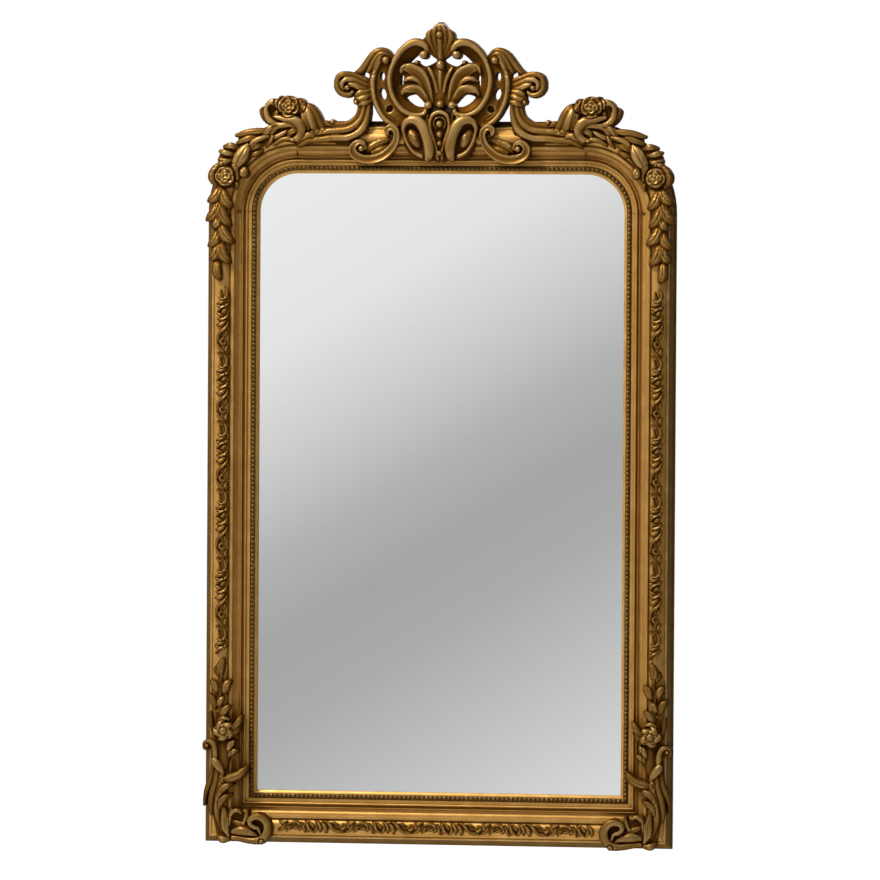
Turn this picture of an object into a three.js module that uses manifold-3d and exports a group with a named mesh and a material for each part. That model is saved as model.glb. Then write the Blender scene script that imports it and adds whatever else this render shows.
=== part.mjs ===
// Trumeau mirror: a tall gilded frame with round top corners, a pierced crest and carved corner sprays.
// Millimetres, +Z up, the front faces -Y. The wall plane is y = 0, and a height is a distance in front of it.
// The origin is on the back of the bottom rail, where the frame lies against the wall.
import * as THREE from 'three';
import { mergeVertices } from 'three/addons/utils/BufferGeometryUtils.js';
import Module from 'manifold-3d';

const wasm = await Module();
wasm.setup();

// --- driving dimensions ---

const fit = 0.3; // gap between pieces that meet
const overcut = 1; // how far a cut runs past the face where it ends

// the glass that shows
const sightWidth = 736;
const sightHeight = 1240;
const sightCornerRadius = 77; // top corners
const originDrop = 70; // origin below the sight's bottom edge
const cornerFacets = 9;
const bandFacets = 3; // in each curved band of the moulding
const beadFacets = 2; // along each half of the slip's bead

// widths of the moulding's bands, counted outwards from the sight edge
const bevelWidth = 6;
const channelWidth = 10;
const innerFlatWidth = 7;
const innerTorusWidth = 5.2;
const grooveWidth = 4;
const coveWidth = 16.4;
const filletWidth = 6.4;
const quirkWidth = 2.8;
const friezeWidth = 24.4;
const outerSlopeWidth = 6;
const outerTorusWidth = 5.2;
const outerCoveWidth = 11.6;

// heights of the moulding's bands over its back
const lipHeight = 3.2;
const bevelHeight = 7.2;
const channelHeight = 5.7;
const innerFlatHeight = 8.7;
const innerTorusRise = 4;
const grooveHeight = 8;
const coveHeight = 13.7;
const filletHeight = 27.7;
const quirkHeight = 24.2;
const friezeEdgeHeight = 26.2;
const friezeCrownHeight = 30.7;
const friezeCrownInset = 3.4;
const slopeFootHeight = 20.5;
const outerTorusRise = 4.5;
const outerFootHeight = 1.6;

// pine back frame
const backThickness = 22;
const rebateWidth = 10; // moulding that overhangs the back frame to hold the glass
const backInset = 2; // back frame inside the moulding's outer edge
const lapLength = 40;

// what lies in the rebate, front to back
const glassThickness = 4;
const glassClearance = 2;
const filletStripWidth = 12;
const backboardThickness = 6;

// beaded slip
const slipBaseHeight = 2;
const slipBeadHeight = 4;

// screws
const screwShankRadius = 1.75;
const screwHeadRadius = 4;
const screwHeadHeight = 2;
const screwCrownRadius = 2.4; // flat part of the head
const screwRimHeight = 0.8;
const screwSides = 8;

// turn buttons
const buttonWidth = 13;
const buttonReach = 30; // pivot to the end that holds the backboard
const buttonTail = 9;
const buttonThickness = 2;
const buttonScrewLength = 16;
const buttonMargin = 80; // outer buttons to the ends of the stile's laps
const buttonFacets = 4;

// hangers
const strapWidth = 16;
const strapLength = 55;
const strapThickness = 1.5;
const strapScrewSpots = [15, 43]; // below the ring's bar
const strapScrewLength = 18;
const ringWireRadius = 2;
const ringReach = 26; // bar to the top of the ring
const ringShoulder = 10; // straight part of the ring's legs
const ringSteps = 28;
const ringSides = 6;
const eyeFacets = 12;
const hangerDrop = 330; // below the sight's top edge

// crest batten
const battenWidth = 44;
const battenSeat = 55; // length that lies in the top rail
const battenRise = 84; // length behind the crest
const battenNotchDepth = 10;
const battenScrewSpread = 80;
const lowerScrewLength = 19; // into the top rail
const upperScrewLength = 34; // into the crest

// carvings; their heights are counted over the moulding's back
const carvingBack = 18; // back of the thin carving over the moulding's edges
const carvingReach = 200; // past the edges of any carving
const flankSlope = 0.8; // a member's flanks, height over half width
const bossShoulder = 0.6; // where a boss's dome turns into its side, as a share of its radius
const bossSides = 8;
const wingJoint = 178; // crest centre meets the wing, from the middle
const wingJointTop = 36;
const wingTipInset = 6; // wing's tip, inside the sight's edge
const wingDrawnLength = 184; // joint to tip, as the wing's places are drawn
const laurelPitch = 36;
const laurelPairs = 4;
const laurelTop = 50; // first pair, above the curve's beginning
const laurelTaper = 3; // each pair reaches less far out
const vineMargin = 1.6;
const vineThickness = 4;
const vineRepeat = 136;
const vineSwell = 0.28; // share of its width that the band swells and shrinks
const vineTip = 0.3; // share of its width at its ends
const sprayTailDrop = 146; // leaf band's upper end, below the curve's beginning
const footHeadRise = 342; // leaf band's lower end, above the bottom corner
const footSideReach = 112; // bottom leaf band's end, beside the bottom corner

// --- heights and places that follow ---

const seat = backThickness + fit; // back of the moulding
const railWidth = bevelWidth + channelWidth + innerFlatWidth + innerTorusWidth + grooveWidth + coveWidth
  + filletWidth + quirkWidth + friezeWidth + outerSlopeWidth + outerTorusWidth + outerCoveWidth;
const channelStart = bevelWidth;
const torusStart = bevelWidth + channelWidth + innerFlatWidth;
const coveStart = torusStart + innerTorusWidth + grooveWidth;
const filletStart = coveStart + coveWidth;
const friezeStart = filletStart + filletWidth + quirkWidth;
const friezeEnd = friezeStart + friezeWidth;
const friezeMiddle = (friezeStart + friezeEnd) / 2;
const outerTorusStart = friezeEnd + outerSlopeWidth;

const halfSight = sightWidth / 2;
const sightBottom = originDrop;
const sightTop = sightBottom + sightHeight;
const arcX = halfSight - sightCornerRadius; // centre of the right corner's curve
const arcZ = sightTop - sightCornerRadius;
const frameTop = sightTop + railWidth;
const backInner = rebateWidth;
const backOuter = railWidth - backInset;

const glassBack = backThickness - glassThickness;
const glassEdge = rebateWidth - glassClearance;
const friezeCrown = seat + friezeCrownHeight;

// --- materials ---

const gold = new THREE.MeshStandardMaterial({ color: 0x9a7130, roughness: 0.42, metalness: 0.85 });
const darkGold = new THREE.MeshStandardMaterial({ color: 0x7d5723, roughness: 0.5, metalness: 0.8 });
const silver = new THREE.MeshStandardMaterial({ color: 0xd4d6d8, roughness: 0.05, metalness: 1 });
const pine = new THREE.MeshStandardMaterial({ color: 0xb98d58, roughness: 0.8, metalness: 0 });
const plywood = new THREE.MeshStandardMaterial({ color: 0xa98557, roughness: 0.85, metalness: 0 });
const steel = new THREE.MeshStandardMaterial({ color: 0x8b8d8f, roughness: 0.4, metalness: 1 });
const brass = new THREE.MeshStandardMaterial({ color: 0xb08d4a, roughness: 0.4, metalness: 1 });

// --- solids ---

function manifoldOf(vertProperties, triVerts) {
  return new wasm.Manifold(new wasm.Mesh({ numProp: 3, vertProperties, triVerts }));
}

// A closed geometry as a solid, turned right side out.
function solid(geometry) {
  const loose = geometry.index ? geometry.toNonIndexed() : geometry;
  const bare = new THREE.BufferGeometry().setAttribute('position', loose.getAttribute('position'));
  const merged = mergeVertices(bare, 1e-3);
  const corners = new Uint32Array(merged.index.array);
  const made = manifoldOf(merged.attributes.position.array, corners);
  return made.volume() < 0 ? manifoldOf(merged.attributes.position.array, corners.reverse()) : made;
}

function geometryOf(made) {
  const mesh = made.getMesh();
  const geometry = new THREE.BufferGeometry();
  geometry.setAttribute('position', new THREE.BufferAttribute(new Float32Array(mesh.vertProperties), 3));
  geometry.setIndex(Array.from(mesh.triVerts));
  const faceted = geometry.toNonIndexed();
  faceted.computeVertexNormals();
  return faceted;
}

function union(solids) {
  return solids.reduce((all, next) => all.add(next));
}

function cut(body, tools) {
  return tools.reduce((left, tool) => left.subtract(tool), body);
}

// The main body that is left of a carving once its back is cut to its seat.
function mainBody(made) {
  return made.decompose().reduce((best, next) => (next.volume() > best.volume() ? next : best));
}

// A flat outline in x and z, from one height to another.
function slab(shape, low, high, curveSegments) {
  const depth = high - low;
  const geometry = new THREE.ExtrudeGeometry(shape, { depth, bevelEnabled: false, curveSegments });
  geometry.rotateX(Math.PI / 2);
  geometry.translate(0, -low, 0);
  return solid(geometry);
}

function box(left, right, bottom, top, low, high) {
  const geometry = new THREE.BoxGeometry(right - left, high - low, top - bottom);
  geometry.translate((left + right) / 2, -(low + high) / 2, (bottom + top) / 2);
  return solid(geometry);
}

// A round bar along y.
function peg(x, z, radius, low, high) {
  const geometry = new THREE.CylinderGeometry(radius, radius, high - low, screwSides);
  geometry.translate(x, -(low + high) / 2, z);
  return solid(geometry);
}

// --- sections carried round the frame ---

// A station is a point of the sight line, with the direction that leads outwards there.
function station(x, z, outX, outZ) {
  return { x, z, outX, outZ };
}

const bottomCorner = (side, slideX = 0, slideZ = 0) =>
  station(side * (halfSight - slideX), sightBottom + slideZ, side, -1);
const stileStation = (side, z) => station(side * halfSight, z, side, 0);
const topStation = (x) => station(x, sightTop, 0, 1);

function cornerStations(side) {
  const stations = [];
  for (let i = 0; i <= cornerFacets; i++) {
    const turn = (i / cornerFacets) * (Math.PI / 2);
    const outX = side * Math.cos(turn);
    const outZ = Math.sin(turn);
    const x = side * arcX + outX * sightCornerRadius;
    stations.push(station(x, arcZ + outZ * sightCornerRadius, outX, outZ));
  }
  return stations;
}

// A section, with x outwards from the sight edge and y in front of the wall, carried along the stations.
function sweep(section, stations, closed = false) {
  const profile = THREE.ShapeUtils.isClockWise(section) ? section.slice().reverse() : section;
  const points = [];
  for (const at of stations) {
    for (const p of profile) points.push(at.x + at.outX * p.x, -p.y, at.z + at.outZ * p.x);
  }
  const count = profile.length;
  const index = [];
  for (let i = 0; i < (closed ? stations.length : stations.length - 1); i++) {
    const here = i * count;
    const next = ((i + 1) % stations.length) * count;
    for (let j = 0; j < count; j++) {
      const k = (j + 1) % count;
      index.push(here + j, here + k, next + k, here + j, next + k, next + j);
    }
  }
  if (!closed) {
    const last = (stations.length - 1) * count;
    for (const [a, b, c] of THREE.ShapeUtils.triangulateShape(profile, [])) {
      index.push(c, b, a, last + a, last + b, last + c);
    }
  }
  const geometry = new THREE.BufferGeometry();
  geometry.setAttribute('position', new THREE.BufferAttribute(new Float32Array(points), 3));
  geometry.setIndex(index);
  return solid(geometry);
}

function torusBand(path, start, width, base, rise) {
  path.absellipse(start + width / 2, base, width / 2, rise, Math.PI, 0, true);
}

function mouldingSection() {
  const path = new THREE.Path();
  path.moveTo(0, seat);
  path.lineTo(0, seat + lipHeight);
  path.lineTo(bevelWidth, seat + bevelHeight);
  path.lineTo(channelStart, seat + channelHeight);
  path.lineTo(channelStart + channelWidth, seat + channelHeight);
  path.lineTo(channelStart + channelWidth, seat + innerFlatHeight);
  path.lineTo(torusStart, seat + innerFlatHeight);
  torusBand(path, torusStart, innerTorusWidth, seat + innerFlatHeight, innerTorusRise);
  path.lineTo(torusStart + innerTorusWidth, seat + grooveHeight);
  path.lineTo(coveStart, seat + grooveHeight);
  path.lineTo(coveStart, seat + coveHeight);
  path.quadraticCurveTo(filletStart, seat + coveHeight, filletStart, seat + filletHeight);
  path.lineTo(filletStart + filletWidth, seat + filletHeight);
  path.lineTo(filletStart + filletWidth, seat + quirkHeight);
  path.lineTo(friezeStart, seat + friezeEdgeHeight);
  path.lineTo(friezeStart + friezeCrownInset, friezeCrown);
  path.lineTo(friezeEnd - friezeCrownInset, friezeCrown);
  path.lineTo(friezeEnd, seat + friezeEdgeHeight);
  path.lineTo(outerTorusStart, seat + slopeFootHeight);
  torusBand(path, outerTorusStart, outerTorusWidth, seat + slopeFootHeight, outerTorusRise);
  path.quadraticCurveTo(outerTorusStart + outerTorusWidth, seat + outerFootHeight,
    railWidth, seat + outerFootHeight);
  path.lineTo(railWidth, seat);
  return path.getPoints(bandFacets);
}

// What a carving is cut back to: it stands on the moulding's crowns and bridges the hollows between them.
function seatSection() {
  const beadTop = seat + channelHeight + slipBaseHeight + slipBeadHeight + 2 * fit;
  const torusTop = seat + innerFlatHeight + innerTorusRise + fit;
  const outerTop = seat + slopeFootHeight + outerTorusRise + fit;
  return [
    [-fit, 0], [-fit, seat + bevelHeight + fit],
    [channelStart, beadTop], [channelStart + channelWidth, beadTop],
    [torusStart, torusTop], [torusStart + innerTorusWidth, torusTop],
    [coveStart - fit, seat + coveHeight + fit],
    [filletStart - fit, seat + filletHeight + fit], [friezeStart - fit, seat + filletHeight + fit],
    [friezeStart + friezeCrownInset, friezeCrown + fit],
    [friezeEnd - friezeCrownInset + fit, friezeCrown + fit],
    [friezeEnd + fit, seat + friezeEdgeHeight + fit], [outerTorusStart + fit, outerTop],
    [outerTorusStart + outerTorusWidth + fit, outerTop],
    [outerTorusStart + outerTorusWidth + fit, seat + slopeFootHeight],
    [railWidth + fit, seat + outerFootHeight + fit], [railWidth + fit, 0],
  ].map(([x, y]) => new THREE.Vector2(x, y));
}

const seatRing = sweep(seatSection(), [
  bottomCorner(1), ...cornerStations(1), ...cornerStations(-1).reverse(), bottomCorner(-1),
], true);

function slipSection() {
  const path = new THREE.Path();
  const floor = seat + channelHeight + fit;
  const start = channelStart + fit;
  const width = channelWidth - 2 * fit;
  path.moveTo(start, floor);
  path.lineTo(start, floor + slipBaseHeight);
  torusBand(path, start, width, floor + slipBaseHeight, slipBeadHeight);
  path.lineTo(start + width, floor);
  return path.getPoints(beadFacets);
}

// --- the exported group and its helpers ---

const trumeau = new THREE.Group();

function place(name, made, material, mirrored = false) {
  const mesh = new THREE.Mesh(geometryOf(made), material);
  mesh.name = name;
  if (mirrored) mesh.scale.x = -1;
  trumeau.add(mesh);
}

// The left piece, and its mirror image on the right.
function placePair(name, made, material) {
  place(`${name}_left`, made, material);
  place(`${name}_right`, made, material, true);
}

// One section in six lengths: mitred at the bottom corners, butted at the ends of the top curves.
function placeLengths(name, section, material) {
  placePair(name, sweep(section, [bottomCorner(-1, 0, fit), stileStation(-1, arcZ - fit)]), material);
  placePair(`${name}_corner`, sweep(section, cornerStations(-1)), material);
  place(`${name}_bottom`, sweep(section, [bottomCorner(-1, fit), bottomCorner(1, fit)]), material);
  place(`${name}_top`, sweep(section, [topStation(fit - arcX), topStation(arcX - fit)]), material);
}

// --- back frame ---

const stileLeft = -halfSight - backOuter;
const stileRight = -halfSight - backInner;
const backBottom = sightBottom - backOuter;
const backTop = sightTop + backOuter;
const railTop = sightBottom - backInner; // top edge of the bottom rail
const topRailBottom = sightTop + backInner;
const lapHeight = backThickness / 2;

// turn buttons: pivots in the stile, clear of its inner edge
const buttonX = stileRight - buttonTail - fit;
const lowerButtonZ = railTop + buttonMargin;
const upperButtonZ = arcZ - lapLength - buttonMargin;
const buttons = [
  { name: 'lower', z: lowerButtonZ },
  { name: 'middle', z: (lowerButtonZ + upperButtonZ) / 2 },
  { name: 'upper', z: upperButtonZ },
];

const hangerX = (stileLeft + stileRight) / 2;
const hangerZ = sightTop - hangerDrop; // the ring's bar

const pilot = (x, z, length) => peg(x, z, screwShankRadius + fit, -overcut, length + fit);
const buttonPilots = buttons.map(({ z }) => pilot(buttonX, z, buttonScrewLength));
const strapPilots = strapScrewSpots.map((spot) => pilot(hangerX, hangerZ - spot, strapScrewLength));

function stile() {
  const left = stileLeft - overcut;
  const right = stileRight + overcut;
  const lapTop = lapHeight + fit / 2;
  return cut(box(stileLeft, stileRight, backBottom, arcZ - fit, 0, backThickness), [
    box(left, right, backBottom - overcut, railTop + fit, -overcut, lapTop),
    box(left, right, arcZ - lapLength - fit, arcZ + overcut, -overcut, lapTop),
    ...buttonPilots,
    ...strapPilots,
  ]);
}

function bottomRail() {
  const lap = (left, right) => box(left, right, backBottom - overcut, railTop + overcut,
    lapHeight - fit / 2, backThickness + overcut);
  return cut(box(stileLeft, -stileLeft, backBottom, railTop, 0, backThickness), [
    lap(stileLeft - overcut, stileRight + fit),
    lap(-stileRight - fit, overcut - stileLeft),
  ]);
}

function topRail() {
  const end = arcX - fit;
  const lapInner = arcX - lapLength - fit;
  const lap = (left, right) => box(left, right, topRailBottom - overcut, backTop + overcut,
    -overcut, lapHeight + fit / 2);
  const half = battenWidth / 2 + fit;
  return cut(box(-end, end, topRailBottom, backTop, 0, backThickness), [
    lap(-arcX - overcut, -lapInner),
    lap(lapInner, arcX + overcut),
    box(-half, half, backTop - battenSeat - fit, backTop + overcut, -overcut, battenNotchDepth + fit),
    pilot(0, battenScrewLow, lowerScrewLength),
  ]);
}

// A quarter ring, with tongues half the thickness that lie behind the stile and the top rail.
function cornerBlock() {
  const ring = new THREE.Shape();
  const inner = sightCornerRadius + backInner;
  const outer = sightCornerRadius + backOuter;
  ring.absarc(-arcX, arcZ, outer, Math.PI, Math.PI / 2, true);
  ring.lineTo(-arcX, arcZ + inner);
  ring.absarc(-arcX, arcZ, inner, Math.PI / 2, Math.PI, false);
  ring.closePath();
  const tongueFront = lapHeight - fit / 2;
  return union([
    slab(ring, 0, backThickness, cornerFacets),
    box(stileLeft, stileRight, arcZ - lapLength, arcZ, 0, tongueFront),
    box(-arcX, lapLength - arcX, topRailBottom, backTop, 0, tongueFront),
  ]);
}

// --- what lies in the rebate ---

// The sight outline grown by an edge: square below, round at the top corners.
function paneShape(edge) {
  const shape = new THREE.Shape();
  const radius = sightCornerRadius + edge;
  shape.moveTo(-halfSight - edge, sightBottom - edge);
  shape.lineTo(halfSight + edge, sightBottom - edge);
  shape.absarc(arcX, arcZ, radius, 0, Math.PI / 2, false);
  shape.absarc(-arcX, arcZ, radius, Math.PI / 2, Math.PI, false);
  shape.closePath();
  return shape;
}

const stripLow = backboardThickness + fit;
const stripHigh = glassBack - fit;
const stripOuter = glassEdge;
const stripInner = stripOuter - filletStripWidth;

function sideStrip() {
  return box(-halfSight - stripOuter, -halfSight - stripInner, sightBottom - stripOuter, arcZ,
    stripLow, stripHigh);
}

function levelStrip(halfLength, bottom, top) {
  return box(-halfLength, halfLength, bottom, top, stripLow, stripHigh);
}

// --- fastenings ---

// A pan-head screw driven from the back. Its head rests on a face that far behind the wall plane.
function screw(x, z, headFace, length) {
  const profile = [
    [0, -headFace - screwHeadHeight], [screwCrownRadius, -headFace - screwHeadHeight],
    [screwHeadRadius, -headFace - screwRimHeight], [screwHeadRadius, -headFace],
    [screwShankRadius, -headFace], [screwShankRadius, length - screwShankRadius], [0, length],
  ].map(([radius, height]) => new THREE.Vector2(radius, height));
  const geometry = new THREE.LatheGeometry(profile, screwSides);
  geometry.rotateX(Math.PI);
  geometry.translate(x, 0, z);
  return solid(geometry);
}

// A brass turn button that points at the backboard, with a rounded tail behind its screw.
function turnButton(z) {
  const half = buttonWidth / 2;
  const tailTurn = Math.asin(half / buttonTail);
  const shape = new THREE.Shape();
  shape.absarc(buttonX, z, buttonTail, Math.PI - tailTurn, Math.PI + tailTurn, false);
  shape.absarc(buttonX + buttonReach - half, z, half, -Math.PI / 2, Math.PI / 2, false);
  shape.closePath();
  const hole = peg(buttonX, z, screwShankRadius + fit, -fit - buttonThickness - overcut, 0);
  return slab(shape, -fit - buttonThickness, -fit, buttonFacets).subtract(hole);
}

// The strap lies on the stile, and its top is rolled into an eye for the ring's bar.
const eyeRadius = ringWireRadius + fit + strapThickness;
const eyeCentre = fit + eyeRadius; // behind the wall plane

function hangerStrap() {
  const back = fit + strapThickness;
  const meet = Math.sqrt(eyeRadius ** 2 - (eyeCentre - back) ** 2);
  const start = Math.atan2(-meet, back - eyeCentre);
  const shape = new THREE.Shape();
  shape.moveTo(fit, -strapLength);
  shape.lineTo(back, -strapLength);
  shape.absarc(eyeCentre, 0, eyeRadius, start, Math.PI, false);
  shape.closePath();
  const eye = new THREE.Path();
  eye.absarc(eyeCentre, 0, ringWireRadius + fit, 0, Math.PI * 2, true);
  shape.holes.push(eye);
  const geometry = new THREE.ExtrudeGeometry(shape, {
    depth: strapWidth, bevelEnabled: false, curveSegments: eyeFacets,
  });
  geometry.rotateX(Math.PI / 2);
  geometry.rotateZ(Math.PI / 2);
  geometry.translate(hangerX - strapWidth / 2, 0, hangerZ);
  return cut(solid(geometry), strapScrewSpots.map((spot) =>
    peg(hangerX, hangerZ - spot, screwShankRadius + fit, -back - overcut, 0)));
}

// A closed D of round wire: a straight bar in the eye, two legs and a half round.
function hangerRing() {
  const half = strapWidth / 2 + fit + ringWireRadius;
  const corner = ringWireRadius + fit;
  const at = (x, z) => new THREE.Vector3(hangerX + x, eyeCentre, hangerZ + z);
  const path = new THREE.CurvePath();
  const arcTop = ringReach - half - corner;
  path.add(new THREE.LineCurve3(at(-half, 0), at(half, 0)));
  path.add(new THREE.QuadraticBezierCurve3(at(half, 0), at(half + corner, 0), at(half + corner, corner)));
  path.add(new THREE.LineCurve3(at(half + corner, corner), at(half + corner, ringShoulder)));
  path.add(new THREE.QuadraticBezierCurve3(at(half + corner, ringShoulder), at(half + corner, arcTop + half),
    at(0, ringReach)));
  path.add(new THREE.QuadraticBezierCurve3(at(0, ringReach), at(-half - corner, arcTop + half),
    at(-half - corner, ringShoulder)));
  path.add(new THREE.LineCurve3(at(-half - corner, ringShoulder), at(-half - corner, corner)));
  path.add(new THREE.QuadraticBezierCurve3(at(-half - corner, corner), at(-half - corner, 0), at(-half, 0)));
  return solid(new THREE.TubeGeometry(path, ringSteps, ringWireRadius, ringSides, true));
}

// --- crest batten ---

const battenBottom = backTop - battenSeat;
const battenTop = frameTop + battenRise;
const battenScrewLow = backTop - battenSeat / 2;
const battenScrewHigh = battenScrewLow + battenScrewSpread;

function crestBatten() {
  const half = battenWidth / 2;
  const tongue = box(-half, half, battenBottom, frameTop, 0, battenNotchDepth);
  const head = box(-half, half, backTop + fit, battenTop, 0, backThickness);
  return cut(union([tongue, head]), [battenScrewLow, battenScrewHigh].map((z) =>
    peg(0, z, screwShankRadius + fit, -overcut, backThickness + overcut)));
}

// --- carvings ---

// One carved member, from points [x, z, width, height of its ridge], with the flanks bevelled.
function member(points, back, origin) {
  const spine = new THREE.CatmullRomCurve3(points.map(([x, z]) => new THREE.Vector3(x, 0, z)));
  return loft(points.map(([x, z, width, height], i) => {
    const along = spine.getTangent(i / (points.length - 1));
    const half = width / 2;
    const ridge = seat + height;
    const flank = ridge - half * flankSlope;
    return [[-half, back], [half, back], [half, flank], [0, ridge], [-half, flank]]
      .map(([across, h]) => [origin.x + x + across * along.z, -h, origin.z + z - across * along.x]);
  }));
}

// Rings of points joined in order, with both ends closed.
function loft(rows) {
  const count = rows[0].length;
  const index = [];
  for (let i = 0; i < rows.length - 1; i++) {
    for (let j = 0; j < count; j++) {
      const k = (j + 1) % count;
      const here = i * count;
      index.push(here + j, here + k, here + count + k, here + j, here + count + k, here + count + j);
    }
  }
  const last = (rows.length - 1) * count;
  for (let j = 1; j < count - 1; j++) index.push(0, j + 1, j, last, last + j, last + j + 1);
  const geometry = new THREE.BufferGeometry();
  geometry.setAttribute('position', new THREE.BufferAttribute(new Float32Array(rows.flat(2)), 3));
  geometry.setIndex(index);
  return solid(geometry);
}

function ovalShape(x, z, radiusX, radiusZ, tilt) {
  const shape = new THREE.Shape();
  shape.absellipse(x, z, radiusX, radiusZ, 0, Math.PI * 2, false, tilt);
  return shape;
}

// A round boss: a short drum with a domed top.
function boss(x, z, radius, back, height) {
  const top = seat + height;
  const profile = [
    [0, back], [radius, back], [radius, top - radius * bossShoulder], [radius * bossShoulder, top], [0, top],
  ].map(([r, h]) => new THREE.Vector2(r, h));
  const geometry = new THREE.LatheGeometry(profile, bossSides);
  geometry.rotateX(Math.PI);
  geometry.translate(x, 0, z);
  return solid(geometry);
}

// The centre of the crest: a C-scroll on each side round an open palmette, a second pierced band outside it,
// a shell on top, and two oval eyes beside a beaded bracket on the rail. Places are from the middle of the
// frame's top edge; the left half is written and the right half is its mirror image.
const crestOrigin = { x: 0, z: frameTop };

const crestHalf = [
  // C-scroll, its hollow band and its outer rim
  [[-34, 130, 12, 28], [-26, 143, 13, 30], [-38, 156, 15, 26], [-57, 155, 18, 24], [-74, 142, 20, 24],
    [-88, 120, 22, 24], [-94, 91, 22, 24], [-92, 60, 22, 24], [-80, 36, 19, 24], [-60, 23, 16, 24],
    [-41, 20, 13, 26], [-26, 27, 12, 28]],
  [[-44, 163, 7, 34], [-62, 161, 8, 35], [-84, 147, 8, 35], [-98, 122, 8, 35], [-104, 91, 8, 35],
    [-101, 58, 8, 35], [-88, 28, 8, 35], [-64, 13, 8, 35], [-40, 10, 7, 34]],
  // second band and its rim
  [[-114, 124, 24, 22], [-123, 89, 28, 20], [-122, 58, 28, 20], [-111, 30, 26, 20], [-88, 6, 24, 20],
    [-64, -14, 20, 22]],
  [[-136, 100, 7, 30], [-139, 70, 8, 31], [-131, 33, 8, 31], [-112, 8, 8, 31], [-88, -9, 8, 31]],
  // shoulder leaf
  [[-104, 128, 10, 32], [-117, 136, 18, 38], [-133, 128, 22, 38], [-150, 110, 20, 34], [-166, 98, 12, 28]],
  [[-108, 122, 8, 32], [-120, 122, 14, 35], [-136, 108, 14, 32], [-141, 86, 10, 28]],
  // side curl
  [[-148, 78, 14, 30], [-175, 86, 18, 36], [-197, 84, 18, 38], [-205, 68, 14, 36], [-195, 54, 12, 34],
    [-180, 56, 12, 32]],
  [[-166, 98, 12, 28], [-162, 70, 22, 30], [-158, 50, 20, 32], [-152, 30, 18, 30]],
  // stem that runs down into the wing, and the C-scroll below it
  [[-141, 60, 12, 28], [-146, 24, 16, 34], [-156, -4, 20, 36], [-166, -28, 22, 38], [-182, -38, 20, 38]],
  [[-156, 20, 14, 30], [-172, -4, 16, 34], [-186, -12, 16, 36]],
  [[-150, -42, 9, 40], [-163, -38, 12, 42], [-172, -50, 13, 42], [-166, -67, 14, 42], [-145, -76, 14, 42],
    [-118, -71, 14, 42], [-98, -56, 13, 42], [-90, -37, 12, 42], [-94, -21, 11, 42], [-102, -16, 10, 42]],
  [[-150, -66, 12, 38], [-126, -60, 22, 38], [-100, -50, 14, 38]],
  // palmette leaves
  [[-4, 36, 14, 24], [-13, 76, 18, 26], [-33, 100, 18, 28], [-54, 110, 14, 30], [-74, 104, 8, 30]],
  [[-6, 38, 14, 24], [-20, 68, 20, 26], [-42, 87, 20, 28], [-74, 86, 10, 30]],
  [[-7, 36, 14, 24], [-26, 54, 18, 26], [-48, 68, 18, 28], [-68, 66, 14, 32], [-79, 56, 8, 32]],
];

const crestMiddle = [
  // shell
  [[0, 112, 10, 30], [0, 135, 22, 32], [0, 155, 44, 30], [0, 170, 54, 24], [0, 183, 36, 20], [0, 195, 8, 16]],
  // stem of the palmette, and the bracket on the rail
  [[0, 22, 26, 26], [0, 60, 16, 30], [0, 100, 14, 32], [0, 116, 14, 34]],
  [[0, 24, 24, 34], [0, 10, 42, 36], [0, -14, 44, 38], [0, -46, 30, 38], [0, -72, 22, 38], [0, -79, 10, 36]],
];

const eyeOval = { x: -48, z: -34, radiusX: 30, radiusZ: 41, tilt: 0.14, facets: 12 };
const eyeRecess = { x: -59, z: -33, radiusX: 13, radiusZ: 26, tilt: 0.1, facets: 8 };
const eyeHeight = 44;
const eyeDepth = 9;
const crestPiercings = [
  { x: -119, z: 90, radiusX: 4, radiusZ: 7, tilt: 0.1, facets: 4 },
  { x: -117, z: 55, radiusX: 5, radiusZ: 11, tilt: 0.1, facets: 4 },
  { x: -152, z: 90, radiusX: 6, radiusZ: 7, tilt: 0, facets: 4 },
];
const crestBeads = [[-4, 8.6], [-24, 6.2], [-40, 4.6]]; // place and radius
const crestBeadBase = 38;

function crestHalfOf(side) {
  const ovalSlab = ({ x, z, radiusX, radiusZ, tilt, facets }, low, high) =>
    slab(ovalShape(-side * x, frameTop + z, radiusX, radiusZ, -side * tilt), low, high, facets);
  const members = crestHalf.map((points) =>
    member(points.map(([x, ...rest]) => [-side * x, ...rest]), seat, crestOrigin));
  const eyeTop = seat + eyeHeight;
  return cut(union([...members, ovalSlab(eyeOval, seat, eyeTop)]), [
    ovalSlab(eyeRecess, eyeTop - eyeDepth, eyeTop + overcut),
    ...crestPiercings.map((hole) => ovalSlab(hole, seat - overcut, eyeTop + overcut)),
  ]);
}

// The room on one side of the joint with a wing.
function wingRoom(near, far, top) {
  return box(near, far, frameTop - carvingReach, frameTop + top, 0, carvingReach);
}

function crestCentre() {
  const middle = crestMiddle.map((points) => member(points, seat, crestOrigin));
  const beads = crestBeads.map(([z, radius]) => boss(0, frameTop + z, radius, seat, crestBeadBase + radius));
  const near = wingJoint - fit / 2;
  const far = wingJoint + carvingReach;
  return mainBody(cut(union([crestHalfOf(1), crestHalfOf(-1), ...middle, ...beads]), [
    seatRing,
    wingRoom(near, far, wingJointTop),
    wingRoom(-far, -near, wingJointTop),
    pilot(0, battenScrewHigh, upperScrewLength),
  ]));
}

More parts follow.
